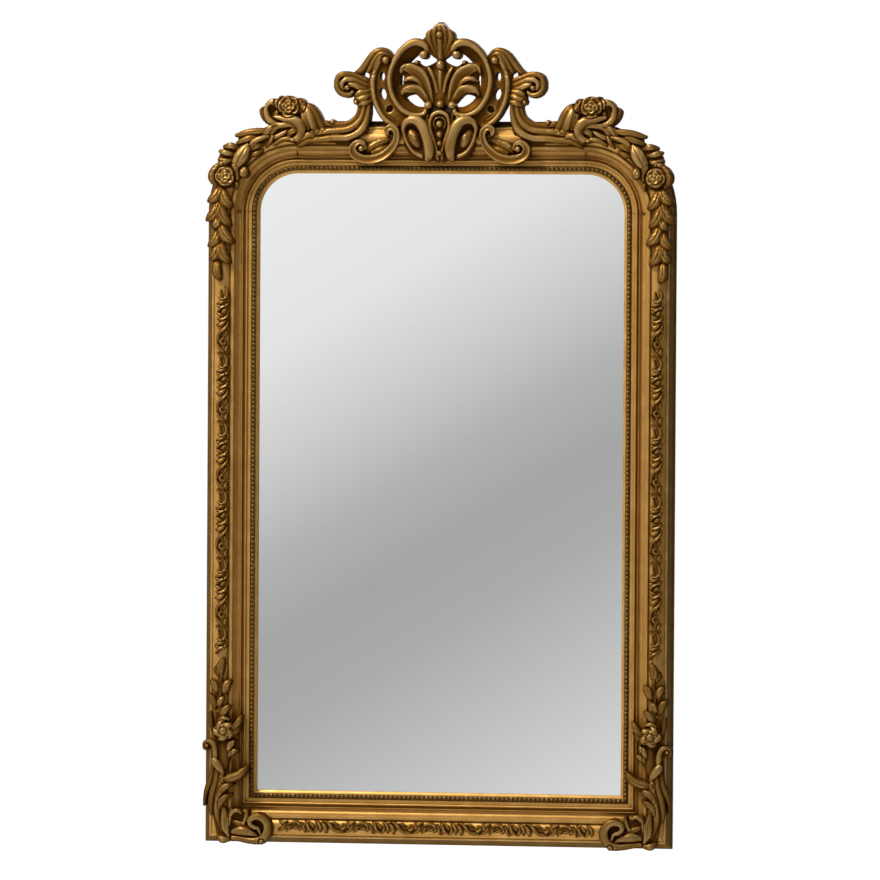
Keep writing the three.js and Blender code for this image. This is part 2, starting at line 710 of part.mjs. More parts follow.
// A wing: three mouldings that sweep out from the crest, and an acanthus head with a flower at the end.
// Places are from its joint with the crest's centre, outwards, and it stretches with the frame's width.
const wingMembers = [
  [[-18, 26, 14, 30], [-4, -2, 16, 34], [26, -12, 16, 36], [51, -8, 16, 36], [70, -2, 14, 36]],
  [[-18, -14, 16, 38], [-2, -24, 16, 39], [22, -31, 16, 40], [51, -30, 16, 40], [78, -26, 14, 40],
    [92, -18, 12, 40]],
  [[-18, -34, 14, 38], [6, -38, 12, 39], [36, -45, 12, 40], [70, -44, 12, 40], [94, -38, 12, 40],
    [109, -46, 12, 40]],
  [[54, -12, 16, 36], [72, 10, 26, 40], [90, 26, 26, 42], [110, 34, 22, 44]],
  [[92, -20, 16, 38], [98, 4, 26, 42], [114, 22, 30, 44], [132, 38, 24, 40], [140, 46, 12, 36]],
  [[118, 12, 20, 38], [144, 20, 26, 38], [166, 28, 18, 34], [184, 20, 10, 32]],
  [[148, 6, 12, 40], [124, 3, 14, 44], [103, -3, 15, 46], [94, -16, 15, 46], [100, -32, 14, 44],
    [116, -37, 12, 40]],
  [[168, 2, 12, 36], [150, -26, 16, 38], [128, -20, 18, 40], [112, -12, 14, 42]],
];
const wingFlower = { x: 126, z: 30, radius: 18, height: 50 };

const wingPlace = (x) => -wingJoint - x * (halfSight - wingTipInset - wingJoint) / wingDrawnLength;

function crestWing() {
  const members = wingMembers.map((points) =>
    member(points.map(([x, ...rest]) => [wingPlace(x), ...rest]), seat, crestOrigin));
  const { x, z, radius, height } = wingFlower;
  members.push(boss(wingPlace(x), frameTop + z, radius, seat, height));
  return mainBody(cut(union(members), [wingRoom(-wingJoint - fit / 2, 0, carvingReach), seatRing]));
}

// Rose and laurel spray on a top corner. Places are from the frieze's middle where the curve begins.
const sprayOrigin = { x: -halfSight - friezeMiddle, z: arcZ };
const sprayMembers = [
  [[84, 158, 12, 36], [56, 158, 20, 40], [24, 154, 10, 34]],
  [[76, 146, 12, 36], [50, 143, 16, 40], [28, 140, 8, 34]],
  [[62, 132, 12, 36], [44, 122, 22, 40], [30, 104, 24, 42], [20, 80, 18, 40]],
  [[44, 126, 14, 36], [20, 127, 20, 38], [2, 126, 12, 32]],
  [[38, 112, 14, 36], [14, 112, 18, 38], [-6, 110, 12, 32]],
  [[30, 98, 14, 36], [10, 98, 16, 38], [-4, 98, 12, 32]],
  [[72, 126, 12, 36], [52, 98, 14, 40], [40, 84, 10, 38]],
  [[0, 72, 22, 36], [-2, 20, 14, 36], [-1, -60, 12, 36], [0, -92, 10, 36], [0, -112, 18, 38],
    [0, -137, 6, 34]],
];
const sprayBosses = [{ x: 7, z: 72, radius: 20, height: 46 }, { x: 43, z: 77, radius: 9, height: 42 }];

function laurelPair(order) {
  const root = laurelTop - order * laurelPitch;
  return [
    [[-6, root, 10, 38], [-20, root - 12, 22, 40], [-32 + order * laurelTaper, root - 32, 8, 34]],
    [[-2, root - 6, 10, 38], [12, root - 18, 22, 40], [23 - order * laurelTaper / 2, root - 38, 8, 34]],
  ];
}

// A thin carving that lies over the moulding: its members and bosses, cut back to their seat.
function applique(memberLists, bosses, origin) {
  const back = seat + carvingBack;
  const members = memberLists.map((points) => member(points, back, origin));
  const rounds = bosses.map(({ x, z, radius, height }) =>
    boss(origin.x + x, origin.z + z, radius, back, height));
  return mainBody(union([...members, ...rounds]).subtract(seatRing));
}

function cornerSpray() {
  const laurel = Array.from({ length: laurelPairs }, (unused, order) => laurelPair(order)).flat();
  return applique([...sprayMembers, ...laurel], sprayBosses, sprayOrigin);
}

// Acanthus, rose and scroll on a bottom corner. Places are from where the frieze's middle lines cross.
const footOrigin = { x: -halfSight - friezeMiddle, z: sightBottom - friezeMiddle };
const footMembers = [
  [[1, 300, 10, 36], [3, 320, 18, 38], [5, 339, 8, 34]],
  [[-8, 262, 10, 36], [-15, 280, 15, 38], [-20, 294, 8, 34]],
  [[5, 260, 10, 36], [14, 280, 16, 38], [20, 296, 8, 34]],
  [[-8, 228, 10, 36], [-18, 242, 14, 38], [-26, 256, 8, 34]],
  [[6, 224, 10, 36], [14, 236, 16, 38], [22, 246, 8, 34]],
  [[1, 302, 10, 35], [-1, 264, 12, 36], [0, 226, 16, 38], [4, 194, 24, 38]],
  [[18, 184, 12, 36], [30, 202, 16, 38], [39, 223, 8, 34]],
  [[12, 182, 12, 36], [27, 171, 14, 38], [22, 147, 8, 34]],
  [[3, 190, 26, 36], [0, 147, 34, 38], [1, 117, 34, 40], [-3, 90, 32, 40], [-7, 62, 30, 38], [-3, 33, 26, 38],
    [12, 4, 24, 40], [24, -22, 20, 38]],
  [[-10, 146, 10, 36], [-18, 168, 10, 38], [-27, 172, 10, 36], [-31, 162, 9, 32], [-25, 157, 8, 32]],
  [[-16, 118, 12, 36], [-15, 96, 13, 38], [-26, 70, 11, 34], [-32, 50, 6, 28]],
  [[8, 94, 18, 40], [34, 102, 24, 42], [54, 119, 8, 36]],
  [[-2, 64, 12, 38], [8, 80, 15, 38], [25, 84, 8, 34]],
  [[-2, 46, 12, 36], [6, 59, 13, 36], [21, 63, 8, 32]],
  [[60, 4, 10, 44], [68, 18, 12, 46], [84, 19, 14, 46], [97, 6, 16, 46], [98, -12, 16, 44], [86, -26, 16, 40],
    [66, -34, 14, 38], [44, -33, 14, 36], [22, -26, 14, 34]],
  [[32, -11, 12, 36], [48, -6, 22, 40], [64, -12, 12, 38]],
  [[-6, -26, 10, 30], [5, -32, 16, 34], [20, -30, 12, 34]],
];
const footBosses = [{ x: 5, z: 194, radius: 16, height: 46 }, { x: 74, z: 3, radius: 8, height: 46 }];

function cornerFoot() {
  return applique(footMembers, footBosses, footOrigin);
}

// Running leaf band: a strip on the frieze's crown whose edges swell on alternate sides.
const vineHalfWidth = friezeWidth / 2 - friezeCrownInset - vineMargin;
const vineBase = friezeCrown + fit;
const sprayTail = arcZ - sprayTailDrop;
const footHead = footOrigin.z + footHeadRise;
const footSide = halfSight + friezeMiddle - footSideReach;

function vineEdge(length, phase) {
  const quarters = Math.max(2, Math.round((length / vineRepeat) * 4));
  const edge = [];
  for (let i = 0; i <= quarters; i++) {
    const swell = 1 - vineSwell + vineSwell * Math.cos((i + phase) * Math.PI / 2);
    edge.push([i / quarters * length, vineHalfWidth * (i === 0 || i === quarters ? vineTip : swell)]);
  }
  return edge;
}

function sideVine() {
  const length = sprayTail - footHead;
  const middle = -halfSight - friezeMiddle;
  const right = vineEdge(length, 0).map(([s, w]) => new THREE.Vector2(middle + w, footHead + s));
  const left = vineEdge(length, 2).map(([s, w]) => new THREE.Vector2(middle - w, footHead + s));
  return slab(new THREE.Shape([...right, ...left.reverse()]), vineBase, vineBase + vineThickness, 1);
}

function bottomVine() {
  const middle = sightBottom - friezeMiddle;
  const lower = vineEdge(2 * footSide, 0).map(([s, w]) => new THREE.Vector2(s - footSide, middle - w));
  const upper = vineEdge(2 * footSide, 2).map(([s, w]) => new THREE.Vector2(s - footSide, middle + w));
  return slab(new THREE.Shape([...lower, ...upper.reverse()]), vineBase, vineBase + vineThickness, 1);
}

// --- assembly ---

placePair('back_stile', stile(), pine);
place('back_rail_bottom', bottomRail(), pine);
place('back_rail_top', topRail(), pine);
placePair('back_corner_block', cornerBlock(), pine);

placeLengths('moulding', mouldingSection(), gold);
placeLengths('beaded_slip', slipSection(), darkGold);

place('mirror_plate', slab(paneShape(glassEdge), glassBack, backThickness, cornerFacets), silver);
placePair('glazing_fillet', sideStrip(), pine);
place('glazing_fillet_bottom', levelStrip(halfSight + stripInner - fit, sightBottom - stripOuter,
  sightBottom - stripInner), pine);
place('glazing_fillet_top', levelStrip(arcX, sightTop + stripInner, sightTop + stripOuter), pine);
place('backboard', slab(paneShape(glassEdge), 0, backboardThickness, cornerFacets), plywood);

for (const { name, z } of buttons) {
  placePair(`turn_button_${name}`, turnButton(z), brass);
  placePair(`turn_button_screw_${name}`,
    screw(buttonX, z, 2 * fit + buttonThickness, buttonScrewLength), steel);
}

placePair('hanger_strap', hangerStrap(), steel);
placePair('hanger_ring', hangerRing(), steel);
strapScrewSpots.forEach((spot, i) => {
  placePair(`hanger_screw_${i + 1}`,
    screw(hangerX, hangerZ - spot, 2 * fit + strapThickness, strapScrewLength), steel);
});

place('crest_batten', crestBatten(), pine);
place('crest_screw_lower', screw(0, battenScrewLow, fit, lowerScrewLength), steel);
place('crest_screw_upper', screw(0, battenScrewHigh, fit, upperScrewLength), steel);

place('crest_centre', crestCentre(), gold);
placePair('crest_wing', crestWing(), gold);
placePair('corner_spray', cornerSpray(), gold);
placePair('corner_foot', cornerFoot(), gold);
placePair('leaf_band', sideVine(), gold);
place('leaf_band_bottom', bottomVine(), gold);

export default trumeau;
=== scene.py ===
"""The dressed trumeau mirror: fine moulding, beads, running vine and carvings round the fixed CAD frame.

Lengths are millimetres until a mesh is written, and a height is a distance in front of the wall plane y = 0.
"""
import math

import bmesh
import bpy
import numpy as np
from mathutils import Matrix, Vector


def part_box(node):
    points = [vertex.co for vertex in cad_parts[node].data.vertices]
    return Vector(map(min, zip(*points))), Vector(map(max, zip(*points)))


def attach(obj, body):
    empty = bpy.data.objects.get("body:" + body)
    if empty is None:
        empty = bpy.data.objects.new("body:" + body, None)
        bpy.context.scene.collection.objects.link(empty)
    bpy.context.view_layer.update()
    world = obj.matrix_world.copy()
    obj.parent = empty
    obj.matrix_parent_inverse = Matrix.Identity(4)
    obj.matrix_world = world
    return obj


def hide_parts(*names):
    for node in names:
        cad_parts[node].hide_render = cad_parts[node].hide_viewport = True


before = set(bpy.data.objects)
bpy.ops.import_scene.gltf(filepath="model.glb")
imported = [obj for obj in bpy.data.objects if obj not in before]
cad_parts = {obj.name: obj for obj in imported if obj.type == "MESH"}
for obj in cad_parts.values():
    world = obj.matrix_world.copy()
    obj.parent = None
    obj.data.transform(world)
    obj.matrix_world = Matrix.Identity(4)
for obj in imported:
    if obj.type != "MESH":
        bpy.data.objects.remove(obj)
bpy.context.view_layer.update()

MM = 0.001
TURN = 2 * math.pi
QUARTER = math.pi / 2
SIDES = ((-1, "left"), (1, "right"))


def box_mm(node):
    low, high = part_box(node)
    return [c / MM for c in low], [c / MM for c in high]


# --- places taken from the frame ---

bottom_box = box_mm("moulding_bottom")
top_box = box_mm("moulding_top")

SIGHT_BOTTOM = bottom_box[1][2]
SIGHT_TOP = top_box[0][2]
FRAME_TOP = top_box[1][2]
RAIL = FRAME_TOP - SIGHT_TOP
HALF_SIGHT = -box_mm("moulding_left")[1][0]
ARC_X = -box_mm("moulding_corner_left")[1][0]
RADIUS = HALF_SIGHT - ARC_X
ARC_Z = SIGHT_TOP - RADIUS
SEAT = -bottom_box[1][1]
SLIP_FLOOR = -box_mm("beaded_slip_bottom")[1][1]

# --- the moulding's bands, outwards from the sight edge: their widths and where they start ---

BEVEL = 6
CHANNEL = 10
FLAT = 7
TORUS = 5.2
GROOVE = 4
COVE = 16.4
COVE_HOLLOW = 6.2
FILLET = 6.4
QUIRK = 2.8
FRIEZE = 24.4
SLOPE = 6
OUTER_TORUS = 5.2
TORUS_START = BEVEL + CHANNEL + FLAT
COVE_START = TORUS_START + TORUS + GROOVE
COVE_LOW = COVE_START + COVE_HOLLOW
FILLET_START = COVE_START + COVE
FRIEZE_START = FILLET_START + FILLET + QUIRK
FRIEZE_END = FRIEZE_START + FRIEZE
FRIEZE_MIDDLE = (FRIEZE_START + FRIEZE_END) / 2
OUTER_START = FRIEZE_END + SLOPE
OUTER_END = OUTER_START + OUTER_TORUS

# --- and their heights over the seat ---

SIGHT_EDGE = 2.6
BEVEL_TOP = 7.1
CHANNEL_FLOOR = 5.7
FLAT_TOP = 8.7
TORUS_RISE = 4.0
GROOVE_FLOOR = 8.2
COVE_LIP = 16.2
COVE_FLOOR = 12.2
COVE_TOP = 27.0
FILLET_TOP = 27.7
QUIRK_FLOOR = 24.2
FRIEZE_EDGE = 25.6
FRIEZE_SWELL = 5.4
SLOPE_DROP = 2.2
OUTER_BASE = 23.0
OUTER_RISE = 1.7
SIDE_TOP = 19.0
SIDE_FOOT = 1.8


# --- curves ---

def catmull(points, steps):
    """A smooth curve through rows of numbers, with that many steps in each span."""
    p = np.asarray(points, float)
    p = np.vstack([2 * p[0] - p[1], p, 2 * p[-1] - p[-2]])
    t = (np.arange(steps) / steps)[:, None]
    rows = []
    for a, b, c, d in zip(p, p[1:], p[2:], p[3:]):
        rows.append(0.5 * (2 * b + (c - a) * t + (2 * a - 5 * b + 4 * c - d) * t ** 2
                           + (3 * b - a - 3 * c + d) * t ** 3))
    return np.vstack(rows + [p[-2][None]])


def arc(cx, cz, radius, first, last, steps):
    """Points on a circle, from one angle to another, in degrees from the x axis."""
    turns = np.radians(np.linspace(first, last, steps + 1))
    return [(cx + radius * math.cos(t), cz + radius * math.sin(t)) for t in turns]


# --- sections of a carved stroke: how far the surface lies under its ridge, in half widths ---

def round_top(a):
    return 0.75 * (1 - np.sqrt(1 - 0.95 * a ** 2))


def soft_top(a):
    return 0.45 * a ** 2


def ridge_top(a):
    return 0.75 * np.abs(a) ** 1.3


def leaf_top(a):
    return 0.55 * a ** 2 + 0.2 * np.exp(-(a / 0.14) ** 2)


def hollow_top(a):
    """Two rolled edges with a hollow between them."""
    edge = np.clip((np.abs(a) - 0.84) / 0.16, 0, 1)
    return 0.5 * (1 - np.clip(np.abs(a) / 0.84, 0, 1) ** 2.4) + 0.55 * edge ** 2


def slope_in(a):
    """A hollow side that falls away to the stroke's right."""
    return 0.62 * np.clip((a + 0.4) / 1.2, 0, 1) ** 0.8


def turned_edge(a):
    """A ribbed leaf half: a rolled ridge along the stroke's left edge, falling away to its right."""
    roll = 0.3 * ((a + 0.7) / 0.3) ** 2
    share = np.clip((a + 0.7) / 1.7, 0, 1)
    ribbed = 0.75 * share ** 0.8 - 0.06 * np.sin(3 * math.pi * share) ** 2
    return np.where(a < -0.7, roll, ribbed)


# --- surfaces of a boss: how far it lies under its top, in radii ---

def dome(r, _turn):
    return 1 - np.sqrt(1 - 0.98 * r ** 2)


def bulb(r, _turn):
    return 0.7 * r ** 2


def petals(r, turn):
    """A rose: cupped petals that overlap in three turns round a bud, each lapping over the next."""
    fall = np.full(r.shape, 0.62)
    done = np.zeros(r.shape, bool)
    for edge, count, offset, lip in ((0.30, 3, 0.4, 0.02), (0.62, 4, 0.9, 0.10), (1.0, 5, 0.2, 0.30)):
        lap = (count * (turn - offset) / TURN) % 1
        reach = edge * (0.74 + 0.27 * np.sin(math.pi * lap ** 0.8))
        here = (r <= reach) & ~done
        share = np.clip(r / reach, 0, 1)
        fall = np.where(here, lip + 0.13 * lap + 0.2 * (1 - share ** 3), fall)
        done |= here
    return fall


# --- closed pieces, each a pair of vertices and faces ---

def band(first, second, size):
    """Faces between two rings of points, given the number at which each begins."""
    return [(first + j, first + (j + 1) % size, second + (j + 1) % size, second + j) for j in range(size)]


def loft(rings):
    """Rings of points joined in order, both ends closed by a fan."""
    rings = np.asarray(rings)
    count, size = rings.shape[:2]
    vertices = rings.reshape(-1, 3)
    faces = [face for i in range(count - 1) for face in band(i * size, (i + 1) * size, size)]
    ends = np.vstack([rings[0].mean(0), rings[-1].mean(0)])
    first, last = len(vertices), len(vertices) + 1
    base = (count - 1) * size
    for j in range(size):
        k = (j + 1) % size
        faces.append((first, k, j))
        faces.append((last, base + j, base + k))
    return np.vstack([vertices, ends]), faces


def join(pieces):
    vertices, faces, offset = [], [], 0
    for v, f in pieces:
        vertices.append(v)
        faces += [tuple(i + offset for i in face) for face in f]
        offset += len(v)
    return np.vstack(vertices), faces


# --- objects ---

def link(name, mesh):
    obj = bpy.data.objects.new(name, mesh)
    bpy.context.scene.collection.objects.link(obj)
    return obj


def smooth(mesh):
    mesh.polygons.foreach_set("use_smooth", [True] * len(mesh.polygons))


def new_object(name, vertices, faces):
    mesh = bpy.data.meshes.new(name)
    mesh.from_pydata((np.asarray(vertices) * MM).tolist(), [], faces)
    mesh.validate()
    smooth(mesh)
    return link(name, mesh)


def finish_mesh(obj, degrees):
    """Faces turned outwards, and edges beyond that angle kept sharp."""
    mesh = bmesh.new()
    mesh.from_mesh(obj.data)
    bmesh.ops.recalc_face_normals(mesh, faces=mesh.faces)
    mesh.to_mesh(obj.data)
    mesh.free()
    obj.data.set_sharp_from_angle(angle=math.radians(degrees))


def thin_out(obj, keep):
    """Leaves that share of the faces."""
    obj.modifiers.new("thin", "DECIMATE").ratio = keep
    baked = bpy.data.meshes.new_from_object(obj.evaluated_get(bpy.context.evaluated_depsgraph_get()))
    old = obj.data
    obj.modifiers.clear()
    obj.data = baked
    bpy.data.meshes.remove(old)
    smooth(baked)


def mirror_object(obj, name):
    mesh = obj.data.copy()
    mesh.transform(Matrix.Scale(-1, 4, Vector((1, 0, 0))))
    mesh.flip_normals()
    return link(name, mesh)


def dress(obj, material, node, body="frame"):
    obj.data.materials.clear()
    obj.data.materials.append(material)
    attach(obj, body)
    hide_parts(node)


# --- carved relief: heights over the wall on a square grid ---

# wear and painted shading of the carvings: painted shade in the hollows, painted highlight on the proud edges; the
# hidden back takes this low value
BACK_WEAR_AND_SHADE = 0.3
CURVE_STEPS = 6
LEAST_WIDTH = 0.8
VEIN_LEAN = 0.9
OUTLINE_BLUR = 0.9
SPREAD_BLUR = 1.2
# reaches in mm and weights of the wear and painted shading; the widest one darkens recessed ground as painted shade
WEAR_AND_SHADE_REACHES = ((1.6, 0.16), (4.5, 0.09), (13.0, 0.022))
SHARP_RELIEF = 62
TINY = 1e-9


def blur(field, reach):
    """Gaussian blur, with the reach in grid steps; nothing wraps round the edges."""
    margin = int(3 * reach) + 1
    field = np.pad(field, margin)
    taps = np.arange(-margin, margin + 1)
    weights = np.exp(-taps ** 2 / (2 * reach ** 2))
    weights /= weights.sum()
    for axis in (0, 1):
        field = sum(w * np.roll(field, tap, axis) for tap, w in zip(taps, weights))
    return field[margin:-margin, margin:-margin]


def mean_near(height, there, reach):
    """The blurred height of what is there, without the emptiness beside it."""
    return blur(height * there, reach) / np.maximum(blur(there, reach), 1e-6)


class Relief:
    """Nothing is there where the height is 0. Later strokes lie over earlier ones."""

    def __init__(self, low, high, step, origin=(0, 0)):
        self.step = step
        self.origin = origin
        count = [int(round((b - a) / step)) + 1 for a, b in zip(low, high)]
        self.x = low[0] + step * np.arange(count[0])
        self.z = low[1] + step * np.arange(count[1])
        self.height = np.zeros(count)

    def window(self, spots, margin):
        """The part of the grid round some spots, and its x and z."""
        low, high = np.min(spots, axis=0) - margin, np.max(spots, axis=0) + margin
        where = (slice(*np.searchsorted(self.x, [low[0], high[0]])),
                 slice(*np.searchsorted(self.z, [low[1], high[1]])))
        return where, *np.meshgrid(self.x[where[0]], self.z[where[1]], indexing="ij")

    def measure(self, points, margin):
        """For each grid point near a line [x, z, width, ridge height]: its signed offset in half widths
        (right of the way the line runs is positive), its share along, the half width and the ridge there."""
        rows = catmull(points, CURVE_STEPS)
        spots, half, ridge = rows[:, :2], np.maximum(rows[:, 2], LEAST_WIDTH) / 2, rows[:, 3]
        where, x, z = self.window(spots, half.max() + margin)
        best = np.full(x.shape, np.inf)
        offset, share, wide, tall = (np.zeros(x.shape) for _ in range(4))
        steps = np.linalg.norm(np.diff(spots, axis=0), axis=1)
        run = np.concatenate([[0], np.cumsum(steps)]) / max(steps.sum(), TINY)
        for k in range(len(rows) - 1):
            (ax, az), (dx, dz) = spots[k], spots[k + 1] - spots[k]
            t = np.clip(((x - ax) * dx + (z - az) * dz) / max(dx * dx + dz * dz, TINY), 0, 1)
            ox, oz = x - ax - t * dx, z - az - t * dz
            w = half[k] + (half[k + 1] - half[k]) * t
            a = np.hypot(ox, oz) / w
            near = a < best
            best[near] = a[near]
            offset[near] = (a * np.where(ox * dz - oz * dx > 0, 1, -1))[near]
            share[near] = (run[k] + (run[k + 1] - run[k]) * t)[near]
            wide[near] = w[near]
            tall[near] = (ridge[k] + (ridge[k + 1] - ridge[k]) * t)[near]
        return where, offset, share, wide, tall

    def lay(self, where, reach, top, edge, gap, depth):
        """Lays a surface where the reach is up to 1, and cuts a narrow groove round it into what lies under it."""
        part = self.height[where]
        ring = (reach > 1) & (reach < 1 + gap) & (part > 0)
        part[ring] = np.minimum(part[ring], np.maximum(edge[ring] - depth, part[ring] - 2 * depth))
        inside = reach <= 1
        part[inside] = np.maximum(part[inside], top[inside])

    def stroke(self, section, points, bite=1.3, depth=1.5, veins=0, vein_depth=0.22):
        """A carved member along a line of points."""
        where, offset, share, wide, tall = self.measure(points, bite)
        reach = np.abs(offset)
        top = tall - section(np.clip(offset, -1, 1)) * wide
        if veins:
            furrow = 1 - np.abs(np.sin(math.pi * (share * veins - reach * VEIN_LEAN)))
            top = top - vein_depth * wide * furrow ** 2 * np.clip(reach * 2.2, 0, 1)
        self.lay(where, reach, top, tall - section(np.ones_like(reach)) * wide, bite / wide, depth)

    def groove(self, points, depth):
        """A rounded furrow along a line [x, z, width], cut into what is there."""
        where, offset, *_ = self.measure([[*p, 0] for p in points], 0)
        part = self.height[where]
        inside = (np.abs(offset) < 1) & (part > 0)
        part[inside] -= depth * (1 - offset[inside] ** 2)

    def oval(self, x, z, across, tall, tilt, margin=0):
        """The grid near an oval, and each point's place in it; 1 away from the middle is on its edge."""
        where, gx, gz = self.window([(x, z)], max(across, tall) + margin)
        c, s = math.cos(tilt), math.sin(tilt)
        dx, dz = gx - x, gz - z
        return where, (dx * c + dz * s) / across, (-dx * s + dz * c) / tall

    def boss(self, surface, x, z, radius, top, bite=1.5, depth=3.0, squash=1.0, tilt=0.0):
        """A round or oval boss whose surface is a function of the radius (0 to 1) and the angle, in radii."""
        where, px, pz = self.oval(x, z, radius, radius * squash, tilt, bite)
        reach = np.hypot(px, pz)
        value = top - surface(np.clip(reach, 0, 1), np.arctan2(pz, px)) * radius
        self.lay(where, reach, value, np.full(reach.shape, top - radius), bite / radius, depth)

    def hole(self, x, z, across, tall, tilt=0.0, deep=None):
        """An oval opening, or a recess down to a height where deep is given."""
        where, px, pz = self.oval(x, z, across, tall, tilt)
        inside = np.hypot(px, pz) < 1
        part = self.height[where]
        part[inside] = 0 if deep is None else np.minimum(part[inside], deep)

    def ground(self, outline, top):
        """A flat field inside a rounded outline, under whatever stands on it."""
        points = catmull([*outline, outline[0]], CURVE_STEPS)
        where, x, z = self.window(points, 1)
        inside = np.zeros(x.shape, bool)
        for (ax, az), (bx, bz) in zip(points, np.roll(points, -1, axis=0)):
            crosses = (az > z) != (bz > z)
            inside ^= crosses & (x < ax + (z - az) * (bx - ax) / np.where(bz == az, TINY, bz - az))
        part = self.height[where]
        part[inside] = np.maximum(part[inside], top)

    def draw(self, rows):
        """Strokes and bosses in order; a stroke has one list of points where a boss has four numbers."""
        for shape, *rest in rows:
            options = rest.pop() if isinstance(rest[-1], dict) else {}
            carve = self.stroke if len(rest) == 1 else self.boss
            carve(shape, *rest, **options)

    def fold(self):
        """Adds the mirror image about x = 0; the grid has to be even about it."""
        self.height = np.maximum(self.height, self.height[::-1])

    def surface(self, soften, ease):
        """The softened heights, eased along the outline, and a field that is positive inside it."""
        there = (self.height > 0).astype(float)
        spread = mean_near(self.height, there, SPREAD_BLUR)
        height = mean_near(np.where(there > 0, self.height, spread), there, soften)
        height = np.where(there > 0, height, spread)
        inner = blur(there, ease / self.step * 0.6)
        return height - ease * np.clip(1 - (inner - 0.5) * 2.2, 0, 1) ** 2, blur(there, OUTLINE_BLUR) - 0.5

    def wear_and_shading(self, height, field):
        """0 in a hollow, 0.5 on a flat and 1 on an edge that stands proud, near and far together: wear, and painted
        shade and highlight, for the gilding.
        """
        there = (field > 0).astype(float)
        proud = sum((height - mean_near(height, there, reach / self.step)) * weight for reach, weight in WEAR_AND_SHADE_REACHES)
        return np.clip(0.5 + proud, 0, 1)

    def front(self, field, height, wear_and_shading):
        """The front's points [x, z, height, wear and painted shading], its faces and the edges along its outline.

        A grid cell that the outline crosses is cut along it, and the others are whole or left out.
        """
        inside = field > 0
        index = np.full(field.shape, -1)
        index[inside] = np.arange(inside.sum())
        gi, gj = np.nonzero(inside)
        corners = [inside[:-1, :-1], inside[1:, :-1], inside[1:, 1:], inside[:-1, 1:]]
        whole = np.all(corners, axis=0)
        ci, cj = np.nonzero(whole)
        faces = np.column_stack([index[ci, cj], index[ci + 1, cj], index[ci + 1, cj + 1], index[ci, cj + 1]]).tolist()
        crossings, cuts, rims = {}, [], []

        def crossing(a, b):
            """The outline's point on the grid edge from inside point a to outside point b."""
            if (a, b) not in crossings:
                t = field[a] / (field[a] - field[b])
                crossings[a, b] = len(gi) + len(cuts)
                cuts.append([self.x[a[0]] + t * (self.x[b[0]] - self.x[a[0]]),
                             self.z[a[1]] + t * (self.z[b[1]] - self.z[a[1]]),
                             height[a] + t * (height[b] - height[a]), wear_and_shading[a]])
            return crossings[a, b]

        for i, j in zip(*np.nonzero(np.any(corners, axis=0) & ~whole)):
            ring = [(i, j), (i + 1, j), (i + 1, j + 1), (i, j + 1)]
            loop = []
            start = next(k for k in range(4) if inside[ring[k]] and not inside[ring[k - 1]])
            for k in range(start, start + 4):
                here, after = ring[k % 4], ring[(k + 1) % 4]
                if not inside[here]:
                    continue
                loop = loop or [crossing(here, ring[(k - 1) % 4])]
                loop.append(int(index[here]))
                if not inside[after]:
                    loop.append(crossing(here, after))
                    faces.append(loop)
                    rims.append((loop[-1], loop[0]))
                    loop = []
        whole_points = np.column_stack([self.x[gi], self.z[gj], height[inside], wear_and_shading[inside]])
        return np.vstack([whole_points, cuts]), faces, rims

    def build(self, name, back, soften=1.3, ease=1.6, keep=1.0):
        """Turns the relief into a closed mesh with smooth outlines, and marks its wear and painted shading."""
        height, field = self.surface(soften, ease)
        height = np.maximum(height, back + 1)
        spots, faces, rims = self.front(field, height, self.wear_and_shading(height, field))
        count = len(spots)
        fronts = np.column_stack([spots[:, 0] + self.origin[0], -spots[:, 2], spots[:, 1] + self.origin[1]])
        backs = fronts.copy()
        backs[:, 1] = -back
        sides = [(a, a + count, b + count, b) for a, b in rims]
        behind = [[v + count for v in reversed(face)] for face in faces]
        obj = new_object(name, np.vstack([fronts, backs]), faces + sides + behind)
        # the wear and painted shading goes on each point as a colour attribute
        colours = np.ones((2 * count, 4))
        colours[:count, :3] = spots[:, 3:]
        colours[count:, :3] = BACK_WEAR_AND_SHADE
        obj.data.color_attributes.new("wear_and_shading", "FLOAT_COLOR", "POINT").data.foreach_set("color", colours.ravel())
        if keep < 1:
            thin_out(obj, keep)
        finish_mesh(obj, SHARP_RELIEF)
        return obj


# --- the carvings ---
#
# A stroke is a section and rows of x, z, width and ridge height over the wall. A boss is a surface, x, z, radius and
# top. A ground is a height and an outline of x and z. What differs from the usual groove, veins or roundness follows
# as a dictionary.

def leaf(root, tip, width, low, high, bow=0.16):
    """A leaf from root to tip, bowed to its left, widest and highest past its middle."""
    root, tip = np.array(root, float), np.array(tip, float)
    along = tip - root
    side = np.array([-along[1], along[0]]) * bow
    return [[*(root + along * share + side * math.sin(math.pi * share)), width * wide, low + (high - low) * rise]
            for share, wide, rise in LEAF_GROWTH]


def relief_on(fields, *grid):
    """A new relief with its flat fields laid."""
    work = Relief(*grid)
    for top, outline in fields:
        work.ground(outline, top)
    return work


# share along a leaf, share of its width and share of its rise
LEAF_GROWTH = ((0, 0.3, 0.1), (0.25, 0.85, 0.75), (0.55, 1.0, 1.0), (0.8, 0.7, 0.75), (1.0, 0.1, 0.1))
FINE_GRID = 0.72
VEINED = {"veins": 5, "vein_depth": 0.16}
SHALLOW = {"bite": 0.9, "depth": 0.4}
BROAD = {"veins": 4, "vein_depth": 0.07}

# the crest, from the middle of the frame's top edge; the left half is written

